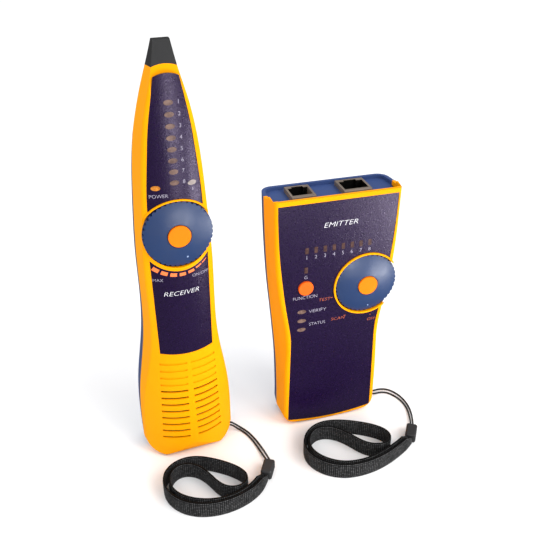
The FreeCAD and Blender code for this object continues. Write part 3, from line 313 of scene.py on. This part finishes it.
finishes = {
    "yellow_shell": shell_plastic("yellow_shell", (250, 162, 6), (246, 156, 3)),
    "blue_shell": moulded("blue_shell", (62, 84, 136), (54, 75, 126), 0.42, 0.3),
    "black_tip": moulded("black_tip", (48, 48, 49), (39, 39, 40), 0.42, 0.4),
    "panel_film": panel_film(),
    "dial_blue": moulded("dial_blue", (24, 54, 100), (18, 46, 91), 0.38, 0.75, depth=0.00003),
    "orange_cap": moulded("orange_cap", (246, 122, 8), (240, 116, 5), 0.42, 0.08),
    "button_orange": moulded("button_orange", (250, 100, 24), (246, 94, 18), 0.38, 0.12),
    "window_amber": amber_window(),
    "led_lens": moulded("led_lens", (226, 220, 200), (210, 202, 180), 0.2),
    "board_green": moulded("board_green", (22, 92, 52), (16, 74, 42), 0.35),
    "chip_black": moulded("chip_black", (30, 30, 32), (22, 22, 24), 0.5),
    "jack_grey": moulded("jack_grey", (112, 100, 92), (92, 82, 76), 0.4),
    "contact_gold": metal("contact_gold", (236, 196, 110), (214, 170, 84), 0.22),
    "zinc_screw": metal("zinc_screw", (176, 178, 182), (140, 142, 146), 0.34),
    "shaft_nylon": moulded("shaft_nylon", (214, 210, 198), (200, 196, 184), 0.45),
    "switch_black": moulded("switch_black", (34, 34, 36), (26, 26, 28), 0.45),
    "ferrite_grey": moulded("ferrite_grey", (52, 52, 56), (38, 38, 42), 0.55, depth=0.00005),
    "coil_copper": metal("coil_copper", (190, 98, 52), (150, 70, 36), 0.3),
    "speaker_steel": metal("speaker_steel", (168, 170, 174), (136, 138, 142), 0.36),
    "battery_can": moulded("battery_can", (40, 40, 46), (30, 30, 36), 0.3),
    "strap_black": woven_band(),
    "string_black": braided_string(),
    "ferrule_black": moulded("ferrule_black", (54, 54, 55), (45, 45, 46), 0.4, 0.35),
}
white_ink = printed_ink("white_ink", (240, 240, 242), (222, 222, 226)).material
grey_ink = printed_ink("grey_ink", (172, 166, 184), (158, 152, 170)).material
orange_ink = printed_ink("orange_ink", (186, 92, 56), (170, 80, 46)).material
scale_ink = printed_ink("scale_ink", (250, 128, 66), (240, 116, 56)).material
dot_paint = printed_ink("dot_paint", (150, 170, 205), (136, 158, 196)).material

SOCKET_WALL = 0.0011
SOCKET_LIP = 0.0021
SOCKET_BACK = 0.0010
SOCKET_TOP = 0.0002
SOCKET_SHADOW = (10, 9, 9)
SOCKET_DRIFT = 160.0
SOCKET_GRAIN = 2200.0


def socket_plastic(node):
    """Grey housing whose opening falls into shadow: near black inside the walls."""
    low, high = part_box(node)
    finish = Finish(node + "_plastic", 0.4, 0.4)
    drift = finish.between(finish.noise(SOCKET_DRIFT, 4.0), 0.0, 1.0)
    shell = finish.colour((126, 114, 104), (104, 94, 86), drift)
    parts = finish.node("ShaderNodeSeparateXYZ")
    finish.link(finish.place, parts.inputs["Vector"])
    limits = (("X", "GREATER_THAN", low[0] + SOCKET_WALL), ("X", "LESS_THAN", high[0] - SOCKET_WALL),
              ("Y", "GREATER_THAN", low[1] + SOCKET_LIP), ("Y", "LESS_THAN", high[1] - SOCKET_BACK),
              ("Z", "LESS_THAN", high[2] - SOCKET_TOP))
    inside = None
    for axis, test, value in limits:
        gate = finish.node("ShaderNodeMath", operation=test)
        finish.link(parts.outputs[axis], gate.inputs[0])
        gate.inputs[1].default_value = value
        if inside is None:
            inside = gate.outputs[0]
            continue
        both = finish.node("ShaderNodeMath", operation="MULTIPLY")
        finish.link(inside, both.inputs[0])
        finish.link(gate.outputs[0], both.inputs[1])
        inside = both.outputs[0]
    dark = finish.node("ShaderNodeMix", data_type="RGBA")
    finish.link(inside, dark.inputs["Factor"])
    finish.link(shell.outputs["Result"], dark.inputs["A"])
    dark.inputs["B"].default_value = (*srgb(*SOCKET_SHADOW), 1.0)
    finish.link(dark.outputs["Result"], finish.shader.inputs["Base Color"])
    finish.relief(finish.noise(SOCKET_GRAIN, 2.0), PLASTIC_DEPTH)
    return finish


slots = {entry["node"]: entry["material_slot"] for entry in frame["record"]["subparts"]}
DARK_WINDOW = ((56, 36, 34), (92, 66, 60), 0.22, 0.4)
own_finish = {
    "emitter_phone_jack": socket_plastic("emitter_phone_jack"),
    "emitter_network_jack": socket_plastic("emitter_network_jack"),
    "emitter_wire_windows": moulded("wire_window", *DARK_WINDOW, drift=WINDOW_DRIFT),
    "emitter_ground_window": moulded("ground_window", *DARK_WINDOW, drift=WINDOW_DRIFT),
    "receiver_signal_window": moulded("signal_window", (138, 128, 124), (168, 158, 154), 0.4, 0.04,
                                      drift=WINDOW_DRIFT),
    "receiver_power_window": moulded("power_window", (150, 88, 30), (212, 136, 52), 0.3, 0.12,
                                     drift=WINDOW_DRIFT),
}
for node_name, node_object in frame["nodes"].items():
    node_object.data.materials.clear()
    node_object.data.materials.append(own_finish.get(node_name, finishes[slots[node_name]]).material)

# ---------------------------------------------------------------- pieces

def add_piece(name, mesh, material, body, smooth=False):
    """A mesh object in the row frame that rides on one body."""
    piece = bpy.data.objects.new(name, mesh)
    mesh.materials.clear()
    mesh.materials.append(material)
    if smooth:
        mesh.polygons.foreach_set("use_smooth", [True] * len(mesh.polygons))
    scene.collection.objects.link(piece)
    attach(piece, body)
    return piece


CURVE_STEPS = 10
CURVE_ORDER = 3
BEVEL_STEPS = 4


def nurbs_object(name, points, bevel=0.0):
    """Curve of one open NURBS spline with the route's points as its control points."""
    curve = bpy.data.curves.new(name, "CURVE")
    curve.dimensions = "3D"
    curve.resolution_u = CURVE_STEPS
    spline = curve.splines.new("NURBS")
    spline.points.add(len(points) - 1)
    for target, point in zip(spline.points, points):
        target.co = (*point, 1.0)
    spline.order_u = CURVE_ORDER
    spline.use_endpoint_u = True
    if bevel:
        curve.bevel_depth = bevel
        curve.bevel_resolution = BEVEL_STEPS
        curve.use_fill_caps = True
    return bpy.data.objects.new(name, curve)


def in_row(points):
    """Route points from the emitter's frame to the row's frame."""
    return [E_ORIGIN + Vector(p) for p in points]


# ---------------------------------------------------------------- wrist straps

STRING_D = 0.0011
E_STRING_A = [
    (0.0276, 0.0108, 0.0062), (0.0312, 0.0116, 0.0046), (0.0354, 0.0136, 0.0019),
    (0.0408, 0.0155, 0.0007), (0.0462, 0.0136, 0.0006), (0.0502, 0.0078, 0.0006),
    (0.0519, 0.0004, 0.0006), (0.0516, -0.007, 0.0008), (0.0496, -0.014, 0.0016),
    (0.0472, -0.02, 0.0026), (0.04453, -0.02565, 0.0036),
]
E_STRING_B = [
    (0.0276, 0.0108, 0.0049), (0.0314, 0.011, 0.0028), (0.0356, 0.0118, 0.0009),
    (0.0402, 0.0124, 0.0006), (0.0444, 0.0108, 0.0006), (0.0478, 0.0062, 0.0006),
    (0.0499, 0, 0.0006), (0.05, -0.0066, 0.0006), (0.0484, -0.0132, 0.001),
    (0.0462, -0.0192, 0.0018), (0.04349, -0.02499, 0.0026),
]
E_WEBBING = [
    (0.0389, -0.035), (0.0352, -0.0382), (0.0284, -0.042),
    (0.02, -0.0459), (0.0104, -0.0489), (0.0006, -0.05),
    (-0.0086, -0.049), (-0.0164, -0.0452), (-0.0224, -0.0392),
    (-0.0256, -0.0316), (-0.0246, -0.0234), (-0.0198, -0.0166),
    (-0.0124, -0.0126), (-0.004, -0.0126), (0.0044, -0.0152),
    (0.0124, -0.0192), (0.0194, -0.0238), (0.0243, -0.029),
    (0.0253, -0.0346), (0.022, -0.0388), (0.0164, -0.0394),
    (0.0106, -0.037), (0.0062, -0.0322), (0.0024, -0.026),
    (-0.0024, -0.02), (-0.0088, -0.0162), (-0.0156, -0.0166),
    (-0.0206, -0.0214), (-0.0229, -0.028), (-0.0214, -0.035),
    (-0.0166, -0.0412), (-0.0096, -0.0458), (-0.001, -0.0476),
    (0.0084, -0.0469), (0.0174, -0.0442), (0.0258, -0.0406),
    (0.0326, -0.0368), (0.0372, -0.033),
]
R_STRING_A = [
    (-0.0641, 0.0066, 0.0072), (-0.0608, 0.0074, 0.0063), (-0.0578, 0.0084, 0.0025),
    (-0.0544, 0.0062, 0.0006), (-0.0514, 0.0014, 0.0006), (-0.0492, -0.0048, 0.0006),
    (-0.0477, -0.0114, 0.0009), (-0.0467, -0.019, 0.0019), (-0.04605, -0.02846, 0.0036),
]
R_STRING_B = [
    (-0.0641, 0.0066, 0.0057), (-0.0604, 0.0062, 0.005), (-0.0574, 0.0056, 0.0016),
    (-0.0554, 0.0046, 0.0006), (-0.0528, 0, 0.0006), (-0.0508, -0.0058, 0.0006),
    (-0.0495, -0.012, 0.0007), (-0.0484, -0.0194, 0.0013), (-0.04711, -0.0279, 0.0026),
]
R_WEBBING = [
    (-0.0511, -0.0382), (-0.0542, -0.0434), (-0.06, -0.0482),
    (-0.0672, -0.0516), (-0.0754, -0.0536), (-0.084, -0.0538),
    (-0.0922, -0.052), (-0.0994, -0.048), (-0.1048, -0.0418),
    (-0.1076, -0.034), (-0.1064, -0.026), (-0.1012, -0.0202),
    (-0.0938, -0.0176), (-0.086, -0.0186), (-0.0784, -0.0226),
    (-0.0712, -0.0278), (-0.0654, -0.0336), (-0.0626, -0.0392),
    (-0.0644, -0.0442), (-0.0694, -0.0464), (-0.0752, -0.0448),
    (-0.0794, -0.0398), (-0.0822, -0.0332), (-0.0862, -0.0264),
    (-0.0922, -0.022), (-0.0988, -0.0224), (-0.1034, -0.0272),
    (-0.1046, -0.0342), (-0.1018, -0.0412), (-0.0958, -0.0466),
    (-0.088, -0.0502), (-0.0796, -0.0516), (-0.0714, -0.0506),
    (-0.0636, -0.0474), (-0.0574, -0.0426), (-0.053, -0.0366),
]


def length_of(points):
    return sum((b - a).length for a, b in zip(points, points[1:]))


def traced(points):
    """Points along the NURBS spline of a route, in order."""
    line = nurbs_object("trace", points)
    mesh = bpy.data.meshes.new_from_object(line)
    result = [v.co.copy() for v in mesh.vertices]
    bpy.data.objects.remove(line)
    bpy.data.meshes.remove(mesh)
    return result


def strap_string(name, body, route):
    points = in_row(route)
    piece = nurbs_object(name + "_braid", points, STRING_D / 2)
    piece.data.materials.append(finishes["string_black"].material)
    scene.collection.objects.link(piece)
    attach(piece, body)
    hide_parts(name)
    length_of(traced(points))


BAND_HIGH = 0.0104
BAND_HALF = 0.00052
RIB_PITCH = 0.00105
RIB_RISE = 0.00013
SELVAGE = 0.0009
BAND_STEP = 0.00021
TAPER_RUN = 0.008
TAPER_LOW = 0.0048
BAND_EDGE = ((0.0, 0.35), (0.012, 0.8))
SELVAGE_BULGE = 1.02
SELVAGE_GROOVE = 0.86
SELVAGE_END = 1.35
BAND_LEVELS = (0.3, 0.5, 0.7)
RIB_SHARPNESS = 0.6
ROUNDING = 1e-9


def evenly(points, step):
    """Points at equal distances along a polyline, with the distance of each."""
    total = length_of(points)
    count = max(2, round(total / step))
    spacing = total / count
    result = [(points[0], 0.0)]
    wanted = spacing
    gone = 0.0
    for a, b in zip(points, points[1:]):
        run = (b - a).length
        while wanted <= gone + run + ROUNDING and len(result) <= count:
            result.append((a.lerp(b, min(1.0, (wanted - gone) / run)), wanted))
            wanted += spacing
        gone += run
    return result


def band_section(rib):
    """Half of the band's section from its foot to its top: (share of the height, half thickness)."""
    body = BAND_HALF + RIB_RISE * rib
    foot = SELVAGE / BAND_HIGH
    rise = [(share, thin * BAND_HALF) for share, thin in BAND_EDGE]
    rise += [
        (foot * 0.5, SELVAGE_BULGE * BAND_HALF),
        (foot, SELVAGE_GROOVE * BAND_HALF),
        (foot * SELVAGE_END, body),
    ]
    middle = [(share, body) for share in BAND_LEVELS]
    return rise + middle + [(1.0 - share, half) for share, half in reversed(rise)]


def band_mesh(name, route):
    """Ribbed webbing that stands on its edge along a route on the floor."""
    line = traced(in_row([(x, y, 0.0) for x, y in route]))
    stations = evenly(line, BAND_STEP)
    verts = []
    uvs = []
    for i, (point, along) in enumerate(stations):
        before = stations[max(i - 1, 0)][0]
        after = stations[min(i + 1, len(stations) - 1)][0]
        ahead = (after - before).normalized()
        side = Vector((-ahead.y, ahead.x, 0.0))
        rib = abs(math.sin(math.pi * along / RIB_PITCH)) ** RIB_SHARPNESS
        profile = band_section(rib)
        to_end = min(along, stations[-1][1] - along)
        high = TAPER_LOW + (BAND_HIGH - TAPER_LOW) * min(1.0, to_end / TAPER_RUN)
        for share, half in profile:
            verts.append(point + side * half + Vector((0, 0, share * high)))
            uvs.append((along, share * BAND_HIGH))
        for share, half in reversed(profile):
            verts.append(point - side * half + Vector((0, 0, share * high)))
            uvs.append((along, share * BAND_HIGH))
    ring = len(verts) // len(stations)
    faces = []
    for i in range(len(stations) - 1):
        low = i * ring
        for k in range(ring):
            nxt = (k + 1) % ring
            faces.append((low + k, low + ring + k, low + ring + nxt, low + nxt))
    last = (len(stations) - 1) * ring
    faces.append(tuple(range(ring)))
    faces.append(tuple(reversed(range(last, last + ring))))
    mesh = bpy.data.meshes.new(name)
    mesh.from_pydata(verts, [], faces)
    layer = mesh.uv_layers.new(name="band")
    for loop in mesh.loops:
        layer.data[loop.index].uv = uvs[loop.vertex_index]
    mesh.update()
    return mesh, length_of(line)


def strap_band(prefix, body, route):
    mesh, length = band_mesh(prefix + "_webbing_ribbed", route)
    piece = add_piece(prefix + "_webbing_ribbed", mesh, finishes["strap_black"].material, body, smooth=True)
    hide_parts(prefix + "_webbing")


for device, body, outer, inner, band in (
    ("emitter_strap", "emitter", E_STRING_A, E_STRING_B, E_WEBBING),
    ("receiver_strap", "receiver", R_STRING_A, R_STRING_B, R_WEBBING),
):
    strap_string(device + "_string_outer", body, outer)
    strap_string(device + "_string_inner", body, inner)
    strap_band(device, body, band)

# ---------------------------------------------------------------- printing on the panels

INK = 0.00002
INK_THICK = 1.5 * INK
PANEL_Y = 0.0003
CROWN_R = 0.0317
CROWN_Y = 0.0285
R_DIAL_Z = 0.1445


def flat_face(x):
    return PANEL_Y


def crowned_face(x):
    return CROWN_Y - math.sqrt(CROWN_R ** 2 - x ** 2)


LETTER_STEPS = 4


def text_block(words, centre, height, slant=0.0, weight=0.0, wide=1.0):
    """Vertices (x, z, depth share) and faces of a line of lettering, centred and scaled to its height."""
    curve = bpy.data.curves.new("letters", "FONT")
    curve.body = words
    curve.shear = slant
    curve.offset = weight
    curve.resolution_u = LETTER_STEPS
    curve.extrude = 0.5
    holder = bpy.data.objects.new("letters", curve)
    mesh = bpy.data.meshes.new_from_object(holder)
    xs = [v.co.x for v in mesh.vertices]
    ys = [v.co.y for v in mesh.vertices]
    scale = height / (max(ys) - min(ys))
    mid_x = (max(xs) + min(xs)) / 2
    mid_y = (max(ys) + min(ys)) / 2
    verts = [(centre[0] + (v.co.x - mid_x) * scale * wide, centre[1] + (v.co.y - mid_y) * scale,
              0.0 if v.co.z > 0 else 1.0) for v in mesh.vertices]
    faces = [tuple(p.vertices) for p in mesh.polygons]
    bpy.data.objects.remove(holder)
    bpy.data.meshes.remove(mesh)
    return verts, faces


def bar_block(x0, x1, z0, z1):
    """A thin printed bar, as vertices (x, z, depth share) and faces."""
    verts = [(x, z, d) for d in (0.0, 1.0) for x, z in ((x0, z0), (x1, z0), (x1, z1), (x0, z1))]
    faces = [(0, 1, 2, 3), (7, 6, 5, 4), (0, 4, 5, 1), (1, 5, 6, 2), (2, 6, 7, 3), (3, 7, 4, 0)]
    return verts, faces


SECTOR_STEPS = 6
DISC_SIDES = 20


def sector_block(centre_z, a0, a1, inner, outer0, outer1):
    """A slice of a ring below a dial, angles from straight down, its outer radius changing along it."""
    steps = SECTOR_STEPS
    rings = []
    for i in range(steps + 1):
        share = i / steps
        angle = math.radians(a0 + (a1 - a0) * share)
        outer = outer0 + (outer1 - outer0) * share
        rings.append([(r * math.sin(angle), centre_z - r * math.cos(angle)) for r in (inner, outer)])
    verts = [(x, z, d) for d in (0.0, 1.0) for pair in rings for x, z in pair]
    half = 2 * (steps + 1)
    faces = []
    for i in range(steps):
        a, b, c, d = 2 * i, 2 * i + 1, 2 * i + 3, 2 * i + 2
        faces += [(a, b, c, d), (half + d, half + c, half + b, half + a), (b, half + b, half + c, c),
                  (a, d, half + d, half + a)]
    e = 2 * steps
    faces += [(0, half, half + 1, 1), (e, e + 1, half + e + 1, half + e)]
    return verts, faces


def disc_block(x, z, radius):
    """A thin round dot, as vertices (x, z, depth share) and faces."""
    sides = DISC_SIDES
    ring = [(x + radius * math.cos(2 * math.pi * i / sides), z + radius * math.sin(2 * math.pi * i / sides))
            for i in range(sides)]
    verts = [(px, pz, d) for d in (0.0, 1.0) for px, pz in ring]
    faces = [tuple(range(sides)), tuple(reversed(range(sides, 2 * sides)))]
    faces += [(i, i + sides, (i + 1) % sides + sides, (i + 1) % sides) for i in range(sides)]
    return verts, faces


def printing(name, body, place, face, material, blocks):
    """All the printing of one ink on one device, as one thin piece on its face."""
    verts = []
    faces = []
    for block_verts, block_faces in blocks:
        base = len(verts)
        verts += [place @ Vector((x, face(x) - INK + INK_THICK * d, z)) for x, z, d in block_verts]
        faces += [tuple(base + i for i in f) for f in block_faces]
    mesh = bpy.data.meshes.new(name)
    mesh.from_pydata(verts, [], faces)
    mesh.update()
    piece = add_piece(name, mesh, material, body)


E_WINDOW_X = -0.01727
E_WINDOW_PITCH = 0.00513
E_DIGIT_Z = 0.1168
E_DIGIT_HIGH = 0.0021
LABEL_HIGH = 0.0019
LABEL_WEIGHT = -0.012
DIGIT_WEIGHT = -0.010
TITLE_WEIGHT = -0.018
MODE_WEIGHT = -0.014
TITLE_SLANT = 0.25
MODE_SLANT = 0.15
emitter_white = [text_block("EMITTER", (0.0014, 0.1347), 0.0027, TITLE_SLANT, TITLE_WEIGHT, 1.22)]
emitter_grey = [
    text_block(str(i + 1), (E_WINDOW_X + E_WINDOW_PITCH * i, E_DIGIT_Z), E_DIGIT_HIGH, 0.0, DIGIT_WEIGHT)
    for i in range(8)
]
emitter_grey += [
    text_block("G", (-0.0175, 0.1047), LABEL_HIGH, 0.0, DIGIT_WEIGHT),
    text_block("FUNCTION", (-0.0176, 0.0919), LABEL_HIGH, 0.0, LABEL_WEIGHT, 1.0),
    text_block("VERIFY", (-0.0101, 0.0822), LABEL_HIGH, 0.0, LABEL_WEIGHT, 1.2),
    text_block("STATUS", (-0.0101, 0.0735), LABEL_HIGH, 0.0, LABEL_WEIGHT, 1.0),
]
emitter_orange = [
    text_block("TEST", (-0.0060, 0.0887), LABEL_HIGH, MODE_SLANT, MODE_WEIGHT, 1.15),
    text_block("SCAN", (0.0024, 0.0743), LABEL_HIGH, MODE_SLANT, MODE_WEIGHT, 1.15),
    text_block("OFF", (0.0233, 0.0700), 0.0018, MODE_SLANT, MODE_WEIGHT, 1.1),
    bar_block(-0.0026, -0.0014, 0.0889, 0.0893),
    bar_block(0.0058, 0.0070, 0.0753, 0.0757),
    bar_block(0.0221, 0.0225, 0.0727, 0.0735),
]
for tint, ink, blocks in (
    ("white", white_ink, emitter_white),
    ("grey", grey_ink, emitter_grey),
    ("orange", orange_ink, emitter_orange),
):
    printing("emitter_printing_" + tint, "emitter", E_PLACE, flat_face, ink, blocks)

LEVEL_TOP = 0.2086
LEVEL_PITCH = 0.00533
R_DIGIT_X = 0.0046
R_DIGIT_HIGH = 0.0018
receiver_grey = [
    text_block(str(i + 1), (R_DIGIT_X, LEVEL_TOP - LEVEL_PITCH * i), R_DIGIT_HIGH, 0.0, DIGIT_WEIGHT)
    for i in range(8)
]
receiver_grey += [
    text_block("POWER", (-0.0077, 0.1652), 0.0017, 0.0, LABEL_WEIGHT, 1.0),
    text_block("S", (0.0086, 0.1667), 0.0013),
    text_block("MAX", (-0.0117, 0.1202), 0.0015, 0.0, LABEL_WEIGHT, 1.05),
    text_block("ON/OFF", (0.0098, 0.1205), 0.0016, 0.0, LABEL_WEIGHT, 1.05),
]
receiver_white = [text_block("RECEIVER", (-0.0006, 0.1119), 0.0024, TITLE_SLANT, TITLE_WEIGHT, 1.2)]
# Each mark of the volume scale: its angle from straight down, and its outer radius.
SCALE_MARKS = (
    (-34.0, 0.0233), (-22.4, 0.0232), (-10.5, 0.0231),
    (1.4, 0.0229), (13.2, 0.0226), (25.0, 0.0220),
)
SCALE_HALF = 4.2
SCALE_INNER = 0.0211
SCALE_FALL = 0.0001
# The last mark: its two angles, its inner radius, and its outer radius at each end.
LAST_MARK = (31.0, 39.0, SCALE_INNER + 0.0002, 0.0219, 0.0217)
scale_blocks = [
    sector_block(R_DIAL_Z, at - SCALE_HALF, at + SCALE_HALF, SCALE_INNER, outer, outer - SCALE_FALL)
    for at, outer in SCALE_MARKS
]
scale_blocks.append(sector_block(R_DIAL_Z, *LAST_MARK))
for tint, ink, blocks in (
    ("white", white_ink, receiver_white),
    ("grey", grey_ink, receiver_grey),
    ("scale", scale_ink, scale_blocks),
):
    printing("receiver_printing_" + tint, "receiver", R_PLACE, crowned_face, ink, blocks)

DOME_R = 0.056
DOT_DEPTH = 0.00025
DOT_RADIUS = 0.0005
E_DIAL_FRONT = -0.0024
R_DIAL_FRONT = -0.0054
E_DOT_AT = (0.0144, 7.0)
R_DOT_AT = (0.0128, 16.0)


def dome_drop(radius):
    return DOME_R - math.sqrt(DOME_R ** 2 - radius ** 2)


def dial_dot(name, body, place, pivot_x, pivot_z, radius, angle, front_y):
    """Painted dot in the dial's hollow; the angle is from straight down towards +X."""
    turn = math.radians(angle)
    depth_y = front_y + dome_drop(radius) + DOT_DEPTH
    block = disc_block(pivot_x + radius * math.sin(turn), pivot_z - radius * math.cos(turn), DOT_RADIUS)
    printing(name, body, place, lambda x: depth_y, dot_paint, [block])


dial_dot("emitter_dial_dot", "emitter_mode_dial", E_PLACE, E_DIAL_X, mode_pivot[2], *E_DOT_AT,
         E_DIAL_FRONT)
dial_dot("receiver_dial_dot", "receiver_volume_dial", R_PLACE, 0.0, R_DIAL_Z, *R_DOT_AT, R_DIAL_FRONT)

# ---------------------------------------------------------------- floor and light

WORLD_LEVEL = 1.1
WORLD_GLOSS = 0.18
REACH = 3.0
LIT_MIDDLE = (0.0, 0.0, 0.08)

floor_mesh = bpy.data.meshes.new("floor")
floor_mesh.from_pydata([(-REACH, -REACH, 0), (REACH, -REACH, 0), (REACH, REACH, 0), (-REACH, REACH, 0)], [],
                       [(0, 1, 2, 3)])
floor = bpy.data.objects.new("floor", floor_mesh)
floor_finish = Finish("pale_floor", 0.9, 0.1)
floor_finish.colour((250, 250, 250), (246, 246, 247), floor_finish.noise(3.0))
floor_mesh.materials.append(floor_finish.material)
floor.visible_glossy = False
scene.collection.objects.link(floor)

world = bpy.data.worlds.new("soft_white")
world.use_nodes = True
background = world.node_tree.nodes["Background"]
background.inputs["Color"].default_value = (1.0, 1.0, 1.0, 1.0)
rays = world.node_tree.nodes.new("ShaderNodeLightPath")
level = world.node_tree.nodes.new("ShaderNodeMapRange")
level.inputs["To Min"].default_value = WORLD_LEVEL
level.inputs["To Max"].default_value = WORLD_GLOSS
world.node_tree.links.new(rays.outputs["Is Glossy Ray"], level.inputs["Value"])
world.node_tree.links.new(level.outputs["Result"], background.inputs["Strength"])
scene.world = world


def area_light(name, place, target, size, power):
    lamp = bpy.data.lights.new(name, "AREA")
    lamp.shape = "SQUARE"
    lamp.size = size
    lamp.energy = power
    light = bpy.data.objects.new(name, lamp)
    light.location = place
    light.rotation_euler = (Vector(target) - Vector(place)).to_track_quat("-Z", "Y").to_euler()
    light.visible_camera = False
    scene.collection.objects.link(light)


# Each light: name, place, target, side of its square, and power in watts.
LIGHTS = (
    ("key", (0.75, -0.75, 1.0), LIT_MIDDLE, 0.7, 9.0),
    ("fill", (-0.9, -0.5, 0.6), LIT_MIDDLE, 0.9, 0.8),
    ("probe_card", (0.04, -0.26, 0.115), (-0.045, -0.016, 0.185), 0.08, 0.2),
    ("panel_card", (0.22, -0.205, 0.03), (0.06, 0.0, 0.13), 0.09, 0.36),
)
for settings in LIGHTS:
    area_light(*settings)
